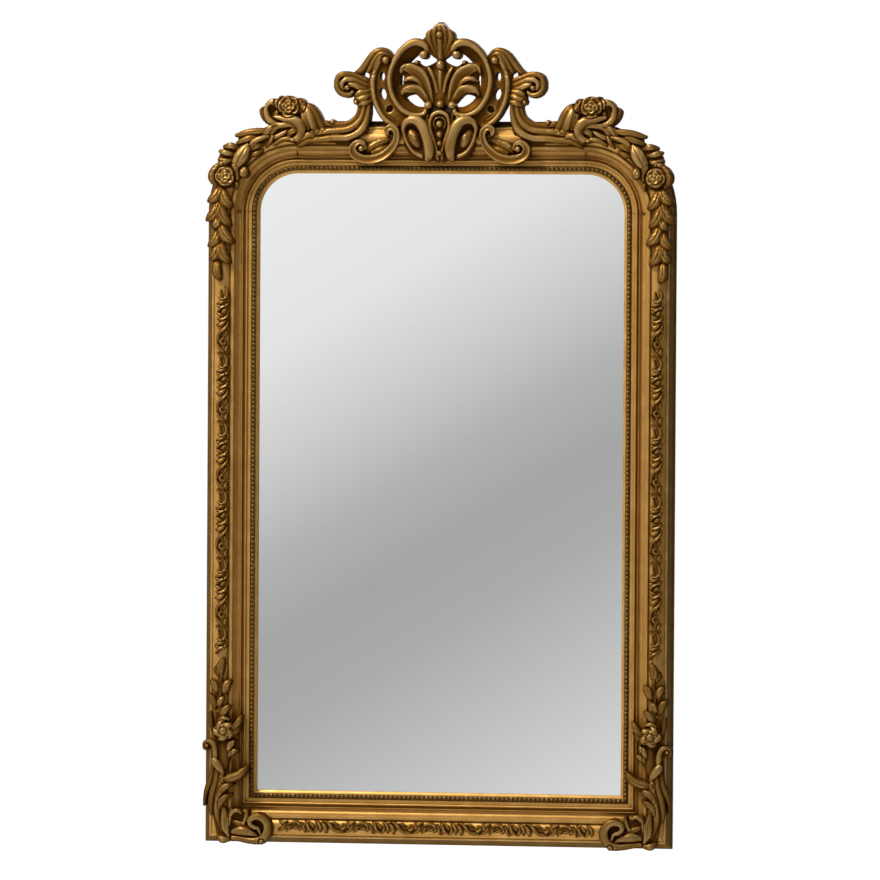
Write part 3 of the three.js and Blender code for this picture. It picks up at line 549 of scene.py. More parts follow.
CREST_FIELDS = [
    # pierced band, shoulder, side curl and collar
    (56, [(-96, 120), (-122, 132), (-152, 106), (-160, 88), (-150, 60), (-139, 40), (-130, 22), (-118, 4), (-96, -10),
          (-66, -6), (-66, 14), (-90, 36), (-98, 70), (-97, 100)]),
    (52, [(-150, 108), (-168, 95), (-196, 92), (-206, 78), (-202, 60), (-186, 52), (-172, 50), (-160, 34),
          (-146, 30), (-136, 50), (-140, 90)]),
    # stem, lower scroll
    (52, [(-144, 34), (-160, 30), (-170, 4), (-188, -8), (-214, -10), (-214, -44), (-170, -48), (-150, -30),
          (-143, 0)]),
    (50, [(-152, -34), (-172, -46), (-170, -70), (-138, -78), (-104, -64), (-90, -38), (-98, -18), (-108, -26),
          (-128, -34)]),
    # eye, bracket, stem under the palmette
    (51, [(-76, -8), (-60, 4), (-40, -4), (-28, -40), (-30, -76), (-50, -76), (-70, -56), (-77, -30)]),
    (57, [(0, 20), (-16, 14), (-20, -4), (-14, -36), (-8, -72), (0, -74)]),
    (54, [(0, 24), (-20, 8), (-34, 4), (-30, -40), (-20, -72), (0, -74)]),
    (50, [(0, 28), (-20, 33), (-32, 44), (-46, 52), (-62, 52), (-80, 46), (-86, 66), (-76, 73), (-75, 91), (-86, 98),
          (-84, 112), (-66, 116), (-48, 117), (-34, 110), (-24, 111), (-10, 118), (0, 124)]),
    (50, [(0, 118), (-8, 128), (-20, 136), (-28, 152), (-24, 172), (-12, 188), (0, 194)]),
]
PALMETTE = [
    (soft_top, [[0, 30, 16, 51], [0, 50, 26, 53], [0, 72, 36, 55], [0, 90, 36, 56], [0, 104, 24, 55],
                [0, 112, 12, 54]], SHALLOW),
    (soft_top, [[-7, 58, 5, 56], [-11, 78, 7, 58], [-18, 96, 8, 60], [-24, 106, 6, 58]], SHALLOW),
    (turned_edge, [[-79, 97, 6, 58], [-76, 105, 11, 61], [-66, 106, 18, 62], [-54, 101, 25, 62], [-42, 92, 27, 61],
                   [-33, 79, 25, 60], [-27, 63, 21, 58], [-22, 47, 15, 55], [-18, 35, 10, 53]], SHALLOW),
    (turned_edge, [[-77, 53, 5, 60], [-73, 60, 10, 63], [-64, 63, 15, 63], [-53, 64, 17, 62], [-43, 60, 18, 60],
                   [-35, 51, 16, 58], [-28, 40, 12, 55], [-23, 32, 8, 53]], SHALLOW),
    (soft_top, [[-74, 79, 4, 54], [-65, 84, 9, 58], [-53, 84, 10, 58], [-43, 77, 9, 57], [-36, 66, 7, 55]], SHALLOW),
]
FINIAL = [
    (soft_top, [[-4, 124, 6, 56], [-14, 134, 10, 60], [-25, 146, 13, 66], [-31, 157, 11, 68], [-26, 166, 7, 66]]),
    (soft_top, [[-3, 124, 6, 57], [-11, 142, 12, 62], [-19, 158, 14, 68], [-22, 171, 13, 72], [-16, 180, 8, 72]]),
    (soft_top, [[-2, 124, 6, 58], [-6, 146, 10, 63], [-10, 166, 13, 70], [-9, 181, 12, 74], [-5, 190, 8, 74]]),
]
SCROLL = [
    (slope_in, [[-30, 20, 18, 54], [-50, 20, 20, 55], [-69, 29, 23, 55], [-83, 45, 24, 55], [-91, 66, 23, 55],
                [-91.5, 90, 23, 55], [-85, 112, 26, 55], [-71, 130, 28, 55], [-55, 143, 27, 56], [-41, 149, 22, 57]]),
    (round_top, [[-27, 27, 8, 63], [-33, 14, 9, 65], [-56, 12, 9, 66], [-77, 23, 10, 67], [-92, 43, 10, 67],
                 [-100, 66, 10, 67], [-101, 90, 10, 67], [-94, 115, 10, 67], [-80, 138, 12, 68], [-62, 153, 14, 69],
                 [-46, 157, 16, 70], [-33, 152, 14, 70], [-27, 143, 11, 69], [-30, 134, 9, 68]]),
    (dome, -33, 132, 8.6, 71),
    (dome, -24, 31, 7.6, 66),
    (dome, -48, 117, 4.5, 60),
]
BAND = [
    (round_top, [[-125, 112, 9, 59], [-133, 94, 10, 62], [-136, 74, 10, 63], [-134, 52, 10, 63], [-128, 32, 10, 63],
                 [-118, 12, 10, 63], [-104, -3, 10, 63], [-87, -11, 9, 61]]),
    (soft_top, [[-128, 60, 4, 55.5], [-122, 36, 4, 55.5], [-110, 14, 4, 55.5], [-92, 0, 4, 55.5]]),
]
SHOULDER = [
    (round_top, [[-98, 128, 8, 60], [-110, 138, 13, 64], [-122, 139, 15, 66], [-136, 131, 14, 65],
                 [-149, 115, 13, 63], [-161, 101, 11, 61], [-172, 94, 8, 58]]),
    (round_top, [[-102, 125, 8, 60], [-114, 133, 11, 66], [-126, 127, 13, 66], [-137, 112, 12, 63],
                 [-146, 99, 8, 59]]),
    (round_top, [[-105, 122, 7, 60], [-116, 126, 10, 66], [-124, 118, 12, 65], [-130, 105, 11, 62],
                 [-134, 95, 7, 58]]),
    (dome, -110, 121, 7.5, 69),
]
SIDE_CURL = [
    (round_top, [[-150, 82, 10, 58], [-167, 87, 13, 61], [-182, 92, 13, 64], [-194, 93, 12, 66], [-204, 88, 12, 66],
                 [-208, 76, 12, 66], [-206, 63, 12, 66], [-197, 54, 12, 65], [-185, 52, 11, 63], [-177, 58, 8, 61]]),
    (round_top, [[-150, 72, 9, 58], [-164, 77, 12, 62], [-178, 82, 12, 66], [-190, 82, 11, 68], [-197, 75, 10, 68],
                 [-195, 66, 9, 67], [-188, 63, 7, 65]]),
    (round_top, [[-148, 62, 9, 58], [-160, 65, 12, 62], [-173, 71, 11, 66], [-183, 72, 9, 67]]),
    (leaf_top, [[-140, 62, 7, 56], [-150, 57, 12, 61], [-163, 55, 13, 63], [-171, 47, 7, 58]]),
    (round_top, [[-141, 52, 8, 57], [-152, 47, 12, 63], [-163, 43, 11, 63], [-172, 40, 8, 60]]),
    (round_top, [[-140, 40, 8, 57], [-152, 36, 11, 62], [-164, 33, 9, 60]]),
    (dome, -187, 66, 5.5, 69),
    (dome, -170, 37, 5, 62),
]
STEM = [
    (round_top, [[-162, 30, 8, 57], [-166, 12, 10, 58], [-176, 0, 12, 59], [-191, -7, 12, 59], [-216, -8, 12, 59]]),
    (round_top, [[-153, 32, 9, 58], [-157, 10, 12, 61], [-167, -6, 14, 63], [-185, -17, 14, 63],
                 [-216, -21, 14, 63]]),
    (round_top, [[-144, 32, 8, 57], [-146, 12, 11, 60], [-152, -8, 14, 63], [-165, -24, 15, 65],
                 [-185, -33, 14, 64], [-216, -34, 13, 63]]),
]
LOWER_SCROLL = [
    (leaf_top, [[-98, -34, 8, 54], [-118, -42, 18, 58], [-138, -52, 16, 60], [-146, -62, 7, 57]], VEINED),
    (leaf_top, [[-102, -52, 8, 56], [-120, -58, 13, 61], [-136, -64, 8, 59]]),
    (hollow_top, [[-151, -55, 8, 66], [-154, -46, 10, 68], [-164, -43, 12, 69], [-174, -52, 15, 69],
                  [-172, -66, 17, 69], [-158, -75, 18, 69], [-137, -77, 18, 68], [-116, -71, 17, 68],
                  [-100, -58, 16, 67], [-90, -43, 14, 67], [-87, -29, 13, 68], [-90, -18, 13, 69],
                  [-98, -13, 13, 69], [-106, -18, 11, 68], [-105, -27, 7, 66]]),
    (dome, -158, -56, 6.5, 70),
]
EYE = [
    (round_top, [[-37, -70, 8, 60], [-50, -64, 7, 61], [-61, -52, 7, 62], [-69, -36, 7, 63], [-73, -18, 8, 65],
                 [-69, -4, 12, 68], [-58, 2, 16, 71], [-45, 0, 20, 73], [-33, -12, 23, 74], [-25, -30, 24, 73],
                 [-21, -48, 23, 70], [-21, -64, 19, 66], [-24, -75, 13, 62]]),
    (bulb, -53, -34, 13, 64, {"bite": 0.8, "depth": 0.5, "squash": 1.7, "tilt": 0.5}),
    (dome, -51, -31, 4.5, 67, {"bite": 0, "squash": 1.6, "tilt": 0.5}),
]
BRACKET = [
    (round_top, [[-13, -30, 4, 61], [-19, -10, 6, 62], [-25, 2, 6, 62], [-25, 12, 5, 61]]),
    (round_top, [[-5, -74, 5, 62], [-6, -54, 5, 64], [-11, -36, 6, 66], [-17, -19, 6, 67], [-19, -2, 7, 68],
                 [-13, 12, 8, 69], [0, 18, 9, 69]]),
    (round_top, [[-7, -16, 3, 65], [-12, -5, 4, 67], [-8, 5, 4, 68], [0, 8, 4, 68]], SHALLOW),
]
MIDDLE_LINE = [
    (ridge_top, [[0, 62, 5, 56], [0, 84, 10, 60], [0, 106, 12, 59], [0, 122, 10, 57]], SHALLOW),
    (round_top, [[0, 122, 9, 60], [0, 146, 11, 65], [0, 164, 12, 71], [0, 182, 9, 75], [0, 191, 6, 75]]),
    *[(dome, 0, z, radius, 65 + radius) for z, radius in ((-6, 7.3), (-27, 6), (-45, 4.6), (-64, 4.4))],
    (dome, 0, 112, 7.8, 66, {"squash": 1.2}),
    (dome, 0, 172, 6.8, 78),
    (dome, 0, 33, 7.5, 66),
]
# x, z, half the width, half the height and tilt
PIERCINGS = [(-117, 89, 4.8, 9, 0), (-115.5, 54, 6.6, 11.5, 0.25), (-149.6, 91, 6, 8, 0.5)]
BAND_RECESS = (-102, 24, 5.5, 7.5, -0.7)
BAND_RECESS_FLOOR = 47
CREST_GRID = 0.9
CREST_KEEP = 0.485


def make_crest_centre():
    work = relief_on(CREST_FIELDS, (-216, -86), (216, 200), CREST_GRID, (0, FRAME_TOP))
    work.draw(BAND)
    for opening in PIERCINGS:
        work.hole(*opening)
    work.hole(*BAND_RECESS, deep=BAND_RECESS_FLOOR)
    work.draw(SHOULDER + STEM + SIDE_CURL + LOWER_SCROLL + PALMETTE + FINIAL + SCROLL + EYE + BRACKET)
    work.fold()
    work.draw(MIDDLE_LINE)
    return work.build("crest_centre_carving", SEAT, keep=CREST_KEEP)


WING_FIELDS = [
    (56, [(-208, -4), (-240, 0), (-262, 20), (-276, 34), (-300, 46), (-320, 44), (-340, 38), (-352, 28), (-350, 6),
          (-342, -8), (-352, -28), (-340, -42), (-310, -42), (-284, -48), (-262, -42), (-208, -42)]),
]
WING = [
    # the strands that come from the crest
    (round_top, [[-196, -8, 12, 56], [-216, -8, 12, 59], [-236, -5, 12, 60], [-252, -12, 10, 60]]),
    (round_top, [[-196, -21, 14, 60], [-216, -21, 14, 63], [-232, -22, 14, 63], [-250, -24, 14, 64],
                 [-267, -28, 11, 64]]),
    (round_top, [[-196, -34, 13, 60], [-216, -34, 13, 63], [-240, -38, 14, 64], [-262, -39, 14, 65],
                 [-277, -45, 12, 64], [-286, -51, 7, 60]]),
    (round_top, [[-256, -31, 9, 65], [-266, -29, 12, 68], [-277, -35, 11, 67], [-287, -43, 7, 62]]),
    # hump of three leaves
    (soft_top, [[-236, -16, 10, 60], [-244, -2, 16, 64], [-252, 12, 19, 66], [-262, 25, 17, 65], [-275, 33, 9, 61]]),
    (soft_top, [[-248, -20, 10, 62], [-257, -8, 17, 69], [-263, 6, 19, 72], [-268, 19, 15, 70], [-276, 28, 8, 64]]),
    (soft_top, [[-266, -16, 9, 64], [-272, -2, 12, 69], [-276, 12, 10, 67]]),
    # left-hand leaves
    (leaf_top, [[-336, -10, 8, 58], [-350, -1, 10, 61], [-358, 10, 10, 62], [-361, 21, 8, 60], [-354, 27, 5, 58]]),
    (soft_top, [[-322, 35, 11, 66], [-336, 37, 14, 69], [-347, 29, 13, 68], [-350, 17, 11, 67], [-347, 5, 12, 67],
                [-339, -4, 13, 67], [-326, -9, 11, 65]]),
    (leaf_top, [[-360, -33, 6, 59], [-351, -24, 12, 65], [-341, -15, 13, 67], [-332, -9, 7, 63]]),
    (leaf_top, [[-322, 24, 8, 60], [-330, 14, 10, 62], [-328, 4, 7, 60]]),
    # the C-shaped leaf with its eye
    (soft_top, [[-344, -36, 7, 60], [-339, -25, 8, 63], [-331, -16, 7, 64], [-320, -12, 7, 64], [-308, -13, 6, 62]]),
    (soft_top, [[-340, -34, 8, 61], [-326, -31, 10, 64], [-316, -25, 9, 64], [-308, -20, 6, 62]]),
    (leaf_top, [[-305, -29, 8, 62], [-299, -22, 13, 66], [-290, -20, 12, 66], [-284, -26, 7, 62]]),
    (soft_top, [[-337, -6, 8, 64], [-321, -9, 11, 67], [-306, -8, 11, 68], [-291, -12, 8, 67]], SHALLOW),
    (soft_top, [[-334, 7, 6, 66], [-317, 4, 12, 70], [-301, 3, 16, 72], [-288, -2, 18, 73], [-280, -12, 18, 72],
                [-279, -24, 16, 70], [-286, -34, 13, 68], [-299, -39, 7, 65]]),
    (soft_top, [[-334, -48, 7, 60], [-321, -39, 9, 63], [-306, -36, 9, 63], [-297, -40, 6, 61]]),
    (round_top, [[-350, -52, 6, 58], [-342, -41, 8, 62], [-338, -32, 7, 62]]),
]
WING_RECESS = (-340, 22, 6.5, 9, 0.2)
WING_RECESS_FLOOR = 57
WING_ROSES = [
    (dome, -320, 44, 6, 66),
    (petals, -283, 30, 13, 68, {"squash": 1.2}),
    (bulb, -325, 33, 9, 68, {"squash": 1.3}),
    (petals, -305, 28, 22, 76),
    (dome, -217, -2, 5, 63),
]


def make_crest_wing():
    work = relief_on(WING_FIELDS, (-366, -60), (-178, 62), FINE_GRID, (0, FRAME_TOP))
    work.draw(WING)
    work.hole(*WING_RECESS, deep=WING_RECESS_FLOOR)
    work.draw(WING_ROSES)
    return work.build("crest_wing_carving_left", SEAT)


# rose and laurel spray, from the frieze's middle where the corner's curve begins

SPRAY_BACK = 30
SPRAY_FIELDS = [
    (56, [(30, 152), (52, 158), (82, 160), (76, 136), (60, 112), (40, 84), (20, 84), (10, 92), (-10, 96), (-8, 114),
          (10, 134), (28, 132)]),
    (55, [(-6, 96), (-18, 80), (-20, 60), (-6, 48), (12, 46), (28, 58), (24, 84)]),
]
SPRAY = [
    (leaf_top, [[90, 162, 9, 62], [68, 160, 14, 66], [48, 157, 14, 66], [27, 152, 8, 61]]),
    (leaf_top, [[76, 146, 8, 60], [58, 147, 13, 65], [44, 143, 13, 65], [29, 137, 8, 60]]),
    (round_top, [[92, 150, 7, 64], [76, 146, 10, 68], [62, 138, 11, 68], [53, 128, 8, 64]]),
    (leaf_top, [[80, 135, 7, 61], [68, 131, 12, 65], [55, 123, 8, 61]], VEINED),
    (leaf_top, [[78, 121, 7, 59], [66, 115, 11, 62], [54, 111, 7, 59]]),
    (leaf_top, [[28, 126, 7, 60], [16, 131, 13, 66], [3, 129, 9, 61]]),
    (leaf_top, [[20, 113, 7, 60], [5, 117, 12, 66], [-6, 120, 8, 61]]),
    (leaf_top, [[16, 101, 7, 60], [4, 100, 11, 65], [-8, 104, 8, 60]]),
    (leaf_top, [[24, 82, 9, 65], [29, 96, 21, 70], [37, 110, 27, 73], [44, 122, 21, 71], [50, 134, 6, 65]], BROAD),
    (leaf_top, [[10, 88, 7, 60], [-2, 95, 12, 65], [-14, 91, 7, 60]]),
    (leaf_top, [[-3, 95, 8, 61], [-15, 84, 18, 66], [-21, 68, 20, 66], [-15, 52, 9, 61]], VEINED),
    (leaf_top, [[20, 92, 7, 61], [29, 80, 11, 64], [29, 66, 9, 62]]),
    (round_top, [[22, 60, 6, 58], [28, 54, 8, 60], [26, 46, 6, 58]]),
    (dome, 43, 78, 9.5, 70, {"squash": 1.25}),
]
SPRAY_ROSE = [(petals, 4, 70, 20, 76)]
# each a line of x, z and width, and its depth
BUD_GROOVES = [([[38, 85, 3], [44, 77, 3], [43, 69, 2]], 1.8), ([[48, 85, 2.5], [47, 79, 2.5], [49, 73, 2]], 1.5)]
LAUREL_STEM = [[0, 56, 7, 58], [-6, 10, 7, 58], [-7, -50, 6, 58], [-8, -100, 6, 58]]
LAUREL = [
    # root, tip, width
    ((-9, -98), (-3, -139), 19), ((-8, -59), (-27, -98), 22), ((-4, -59), (16, -104), 22), ((-9, -36), (-31, -71), 20),
    ((-5, -23), (23, -63), 23), ((-8, -5), (-22, -34), 16), ((-6, 25), (-35, -19), 26), ((-6, 21), (17, -29), 24),
    ((-6, 49), (-32, 19), 21), ((-2, 45), (20, 8), 23),
]


def make_corner_spray():
    work = relief_on(SPRAY_FIELDS, (-42, -142), (96, 172), FINE_GRID, (-HALF_SIGHT - FRIEZE_MIDDLE, ARC_Z))
    work.stroke(round_top, LAUREL_STEM)
    for root, tip, width in LAUREL:
        bow = 0.15 if tip[0] < root[0] else -0.15
        work.stroke(leaf_top, leaf(root, tip, width, 58, 68, bow), bite=1.0, depth=1.0, **BROAD)
    work.draw(SPRAY)
    for line, depth in BUD_GROOVES:
        work.groove(line, depth)
    work.draw(SPRAY_ROSE)
    return work.build("corner_spray_carving_left", SPRAY_BACK)


# acanthus foot, from where the frieze's middle lines cross

FOOT_FIELDS = [
    (55, [(-10, 226), (14, 226), (22, 200), (28, 160), (18, 140), (16, 96), (8, 70), (4, 40), (24, 30), (60, 20),
          (92, 10), (96, -16), (70, -32), (24, -30), (-4, -22), (-14, 20), (-20, 60), (-20, 110), (-16, 150),
          (-14, 180)]),
]
FOOT = [
    (leaf_top, leaf((0, 296), (8, 337), 18, 59, 66, 0.1)),
    (leaf_top, leaf((-4, 300), (-11, 320), 9, 58, 62, 0.1)),
    (leaf_top, leaf((-8, 266), (-21, 291), 15, 59, 65, -0.14), VEINED),
    (leaf_top, leaf((9, 264), (22, 292), 17, 59, 66, 0.14), VEINED),
    (round_top, [[2, 302, 6, 58], [-1, 266, 8, 59], [1, 232, 9, 60], [5, 206, 10, 60]]),
    (leaf_top, leaf((-12, 234), (-27, 264), 15, 58, 63, -0.14), VEINED),
    (leaf_top, leaf((-3, 238), (9, 258), 12, 59, 65, 0.14)),
    (leaf_top, leaf((4, 219), (22, 241), 14, 59, 65, 0.14)),
    (round_top, [[-21, 226, 7, 56], [-20, 210, 8, 57], [-16, 190, 8, 57]]),
    (round_top, [[-3, 211, 6, 61], [7, 215, 9, 64], [18, 212, 6, 61]]),
    (leaf_top, [[18, 184, 8, 61], [29, 196, 14, 66], [38, 210, 12, 66], [43, 220, 5, 61]]),
    (leaf_top, [[20, 180, 7, 61], [31, 187, 10, 65], [41, 198, 5, 61]]),
    (leaf_top, leaf((18, 146), (31, 171), 13, 60, 66, 0.16)),
    (leaf_top, leaf((18, 138), (38, 151), 11, 60, 65, 0.16)),
    (soft_top, [[6, 180, 24, 58], [9, 160, 27, 59], [8, 138, 26, 60], [6, 120, 22, 60]]),
    (round_top, [[-25, 154, 6, 60], [-31, 154, 7, 62], [-33, 161, 8, 63], [-29, 167, 9, 64], [-20, 168, 10, 65],
                 [-13, 161, 11, 65], [-10, 148, 11, 65], [-9, 136, 9, 63]]),
    (round_top, [[-15, 116, 9, 61], [-18, 94, 12, 62], [-26, 75, 11, 61], [-31, 57, 8, 57], [-33, 40, 5, 54]]),
    (round_top, [[-6, 108, 11, 63], [-8, 86, 14, 64], [-15, 66, 13, 63], [-19, 43, 11, 60], [-18, 22, 6, 56]]),
    (round_top, [[4, 104, 10, 63], [2, 78, 15, 65], [-3, 54, 15, 64], [-6, 30, 13, 61], [-3, 8, 9, 58],
                 [4, -12, 7, 57]]),
    (round_top, [[-12, 131, 11, 67], [-8, 125, 16, 69], [0, 114, 14, 67], [6, 104, 7, 62]]),
    (leaf_top, [[0, 36, 8, 61], [3, 48, 13, 65], [11, 56, 12, 65], [23, 62, 5, 60]]),
    (leaf_top, [[-1, 62, 9, 62], [6, 73, 14, 67], [16, 80, 13, 67], [27, 83, 5, 61]]),
    (leaf_top, [[6, 90, 10, 62], [24, 96, 18, 69], [38, 101, 18, 71], [47, 109, 14, 69], [56, 119, 6, 63]]),
    # scroll along the bottom
    (leaf_top, [[56, 30, 6, 61], [55, 17, 10, 65], [49, 5, 8, 64]]),
    (leaf_top, [[28, 8, 8, 59], [44, 1, 14, 62], [62, -5, 8, 60]]),
    (soft_top, [[27, -13, 10, 62], [44, -11, 19, 67], [62, -14, 14, 66], [76, -20, 7, 63]]),
    (round_top, [[84, -18, 6, 65], [79, -6, 8, 68], [69, -2, 9, 70], [62, 6, 10, 71], [66, 15, 12, 72],
                 [79, 19, 15, 73], [92, 13, 17, 73], [99, 0, 18, 73], [96, -17, 18, 72], [83, -29, 16, 69],
                 [63, -30, 13, 66], [43, -27, 12, 64], [27, -25, 10, 62]]),
    (round_top, [[24, 32, 7, 61], [20, 14, 9, 64], [15, -8, 9, 64], [18, -24, 7, 61]]),
    (round_top, [[21, 18, 6, 62], [27, 27, 8, 66], [36, 30, 8, 66], [43, 25, 5, 62]]),
    (leaf_top, [[7, 34, 9, 60], [10, 14, 16, 64], [11, -4, 15, 65], [17, -19, 8, 61]]),
    (round_top, [[-5, -24, 7, 58], [5, -29, 14, 64], [17, -29, 9, 61]]),
]
FOOT_ROSE = np.array([7, 190])
FOOT_PETALS = [0.3 + TURN * k / 5 for k in (0, 2, 4, 1, 3)]
FOOT_BOSSES = [
    (petals, *FOOT_ROSE, 7, 75, {"bite": 0.8, "depth": 1}),
    (dome, -27, 160, 4, 65),
    (dome, 86, -32, 5.5, 68),
]


def make_corner_foot():
    work = relief_on(FOOT_FIELDS, (-36, -40), (110, 342), FINE_GRID,
                     (-HALF_SIGHT - FRIEZE_MIDDLE, SIGHT_BOTTOM - FRIEZE_MIDDLE))
    work.draw(FOOT)
    for turn in FOOT_PETALS:
        way = np.array([math.cos(turn), math.sin(turn)])
        work.stroke(leaf_top, leaf(FOOT_ROSE + 2 * way, FOOT_ROSE + 17 * way, 19, 60, 71, 0.35), **SHALLOW)
    work.draw(FOOT_BOSSES)
    return work.build("corner_foot_carving_left", SPRAY_BACK)


# running vine: x runs along the frieze and z across it

VINE_REPEAT = 137
VINE_BASE = 47.5
VINE_WIDTH = 24
VINE_END = 4
VINE_GRID = 0.68
VINE = [
    (round_top, [[2, 8, 4, 58], [7, -3, 6, 60], [9, -11, 4, 58]]),
    (round_top, [[10, 11, 4, 58], [16, 3, 7, 61], [16, -4, 7, 61], [13, -11, 4, 58]]),
    (round_top, [[14, 3, 4, 58], [18, -5, 5, 60], [26, -10, 4, 58]]),
    (leaf_top, [[18, 9, 4, 57], [24, 3, 7, 60], [29, -3, 4, 58]]),
    (round_top, [[28, -11, 4, 58], [32, -5, 6, 60], [34, 2, 4, 58]]),
    (round_top, [[30, 12, 3, 57], [38, 6, 6, 61], [41, -2, 6, 61], [40, -10, 4, 58]]),
    (leaf_top, [[42, 8, 4, 58], [49, 1, 8, 62], [52, -6, 8, 62], [52, -12, 4, 58]]),
    (round_top, [[45, 12, 3, 57], [54, 9, 5, 60], [60, 4, 6, 62], [65, -3, 6, 62], [72, -8, 6, 61], [80, -9, 6, 60],
                 [89, -10, 4, 58]]),
    (round_top, [[62, 8, 3, 58], [69, 8, 5, 60], [76, 4, 4, 58]]),
    (round_top, [[78, 3, 3, 58], [84, -4, 5, 60], [90, -1, 5, 60], [90, 5, 4, 59], [85, 7, 3, 58]]),
    (leaf_top, [[94, 11, 3, 57], [102, 7, 6, 60], [110, 10, 3, 57]]),
    (round_top, [[92, -9, 4, 58], [99, -7, 6, 60], [104, -1, 5, 60], [106, 5, 3, 58]]),
    (round_top, [[108, -10, 3, 58], [114, -6, 5, 60], [117, 0, 4, 59]]),
    (round_top, [[112, 4, 3, 58], [122, 9, 5, 61], [131, 8, 6, 61], [137, 1, 6, 61], [134, -8, 4, 58]]),
    (soft_top, [[118, -4, 3, 57], [126, -4, 5, 59], [133, 0, 4, 58]]),
]


def make_vine(name, length):
    """The pattern repeated along a length, without what would hang over its ends."""
    work = Relief((0, -VINE_WIDTH / 2 - 1), (length, VINE_WIDTH / 2 + 1), VINE_GRID)
    count = math.ceil(length / VINE_REPEAT) + 1
    start = (length - (count - 1) * VINE_REPEAT) / 2 - VINE_REPEAT / 2
    for i in range(count + 1):
        shift = start + i * VINE_REPEAT
        for section, points in VINE:
            rows = [[x + shift, z, wide, ridge] for x, z, wide, ridge in points]
            along = [row[0] for row in rows]
            if min(along) > VINE_END and max(along) < length - VINE_END:
                work.stroke(section, rows, bite=1.2, depth=2)
    return work.build(f"running_vine_{name}", VINE_BASE, soften=0.5, ease=0.8)


def make_vines(material):
    for side, name in SIDES:
        low, high = box_mm(f"leaf_band_{name}")
        vine = make_vine(name, high[2] - low[2])
        vine.data.transform(Matrix.Rotation(QUARTER, 4, "Y"))
        vine.data.transform(Matrix.Translation(Vector((side * (HALF_SIGHT + FRIEZE_MIDDLE), 0, high[2])) * MM))
        dress(vine, material, f"leaf_band_{name}")
    low, high = box_mm("leaf_band_bottom")
    vine = make_vine("bottom", high[0] - low[0])
    vine.data.transform(Matrix.Translation(Vector((low[0], 0, SIGHT_BOTTOM - FRIEZE_MIDDLE)) * MM))
    dress(vine, material, "leaf_band_bottom")


# --- the moulding and its slip, carried round the frame ---

MITER_GAP = 0.12
SLIP_GAP = 0.3
SLIP_RISE = 1.9
SLIP_EASE = 0.4
BEAD_PITCH = 9.0
BEAD_RADIUS = 4.1
BEAD_RISE = 4.0
BEAD_SEAT = 1.6
SHARP_RAIL = 38
SHARP_BEAD = 50


def bead_points(start, width, base, rise, steps):
    """A half-round moulding: distance outwards and height."""
    turns = np.linspace(math.pi, 0, steps + 1)
    return [(start + width / 2 + width / 2 * math.cos(t), base + rise * math.sin(t)) for t in turns]


def cove_points(x0, h0, x1, h1, steps):
    """A hollow quarter from (x0, h0), level at first and steep at the end."""
    turns = np.linspace(0, QUARTER, steps + 1)
    return [(x0 + (x1 - x0) * math.sin(t), h0 + (h1 - h0) * (1 - math.cos(t))) for t in turns]


def moulding_section():
    """(distance outwards from the sight edge, height over the wall) round the section."""
    channel_end = BEVEL + CHANNEL
    rows = [(0, 0), (0, SIGHT_EDGE), (0.5, SIGHT_EDGE + 0.6), (BEVEL - 0.7, BEVEL_TOP - 0.1),
            (BEVEL - 0.2, BEVEL_TOP), (BEVEL, BEVEL_TOP - 0.4), (BEVEL, CHANNEL_FLOOR), (channel_end, CHANNEL_FLOOR),
            (channel_end, FLAT_TOP - 0.4), (channel_end + 0.4, FLAT_TOP), (TORUS_START, FLAT_TOP)]
    rows += bead_points(TORUS_START, TORUS, FLAT_TOP, TORUS_RISE, 10)
    rows += [(TORUS_START + TORUS, GROOVE_FLOOR - 0.2), (COVE_START - 0.8, GROOVE_FLOOR),
             (COVE_START - 0.3, GROOVE_FLOOR + 0.8), (COVE_START, COVE_LIP - 0.6), (COVE_START + 0.4, COVE_LIP),
             (COVE_START + 0.9, COVE_LIP)]
    inner = cove_points(0, COVE_FLOOR, COVE_HOLLOW - 1.2, COVE_LIP - 0.2, 6)
    rows += [(COVE_LOW - x, h) for x, h in reversed(inner)]
    rows += cove_points(COVE_LOW, COVE_FLOOR, FILLET_START, COVE_TOP, 12)[1:]
    rows += [(FILLET_START + 0.5, FILLET_TOP - 0.1), (FILLET_START + 1, FILLET_TOP),
             (FRIEZE_START - QUIRK - 0.8, FILLET_TOP), (FRIEZE_START - QUIRK, FILLET_TOP - 0.7),
             (FRIEZE_START - QUIRK, QUIRK_FLOOR), (FRIEZE_START - 0.5, QUIRK_FLOOR), (FRIEZE_START, FRIEZE_EDGE - 0.2)]
    rows += [(FRIEZE_MIDDLE + t * FRIEZE / 2, FRIEZE_EDGE + FRIEZE_SWELL * (1 - t ** 2))
             for t in np.linspace(-1, 1, 17)[1:-1]]
    rows += [(FRIEZE_END + SLOPE * t, FRIEZE_EDGE - SLOPE_DROP * t ** 1.3) for t in (0, 0.2, 0.4, 0.6, 0.8, 1)]
    rows += bead_points(OUTER_START, OUTER_TORUS, OUTER_BASE, OUTER_RISE, 10)[1:]
    rows += reversed(cove_points(RAIL, SIDE_FOOT, OUTER_END + 0.4, SIDE_TOP, 12)[:-1])
    rows += [(RAIL, SIDE_FOOT - 0.2), (RAIL, 0)]
    return [(x, SEAT + h) for x, h in rows]


def slip_section():
    start, end, top = BEVEL + SLIP_GAP, BEVEL + CHANNEL - SLIP_GAP, SLIP_FLOOR + SLIP_RISE
    return [(start, SLIP_FLOOR), (start, top - SLIP_EASE), (start + SLIP_EASE, top), (end - SLIP_EASE, top),
            (end, top - SLIP_EASE), (end, SLIP_FLOOR)]


def corner_stations(side, steps=28):
    rows = []
    for i in range(steps + 1):
        turn = i / steps * QUARTER
        out = (side * math.cos(turn), math.sin(turn))
        rows.append((side * ARC_X + out[0] * RADIUS, ARC_Z + out[1] * RADIUS, *out))
    return rows


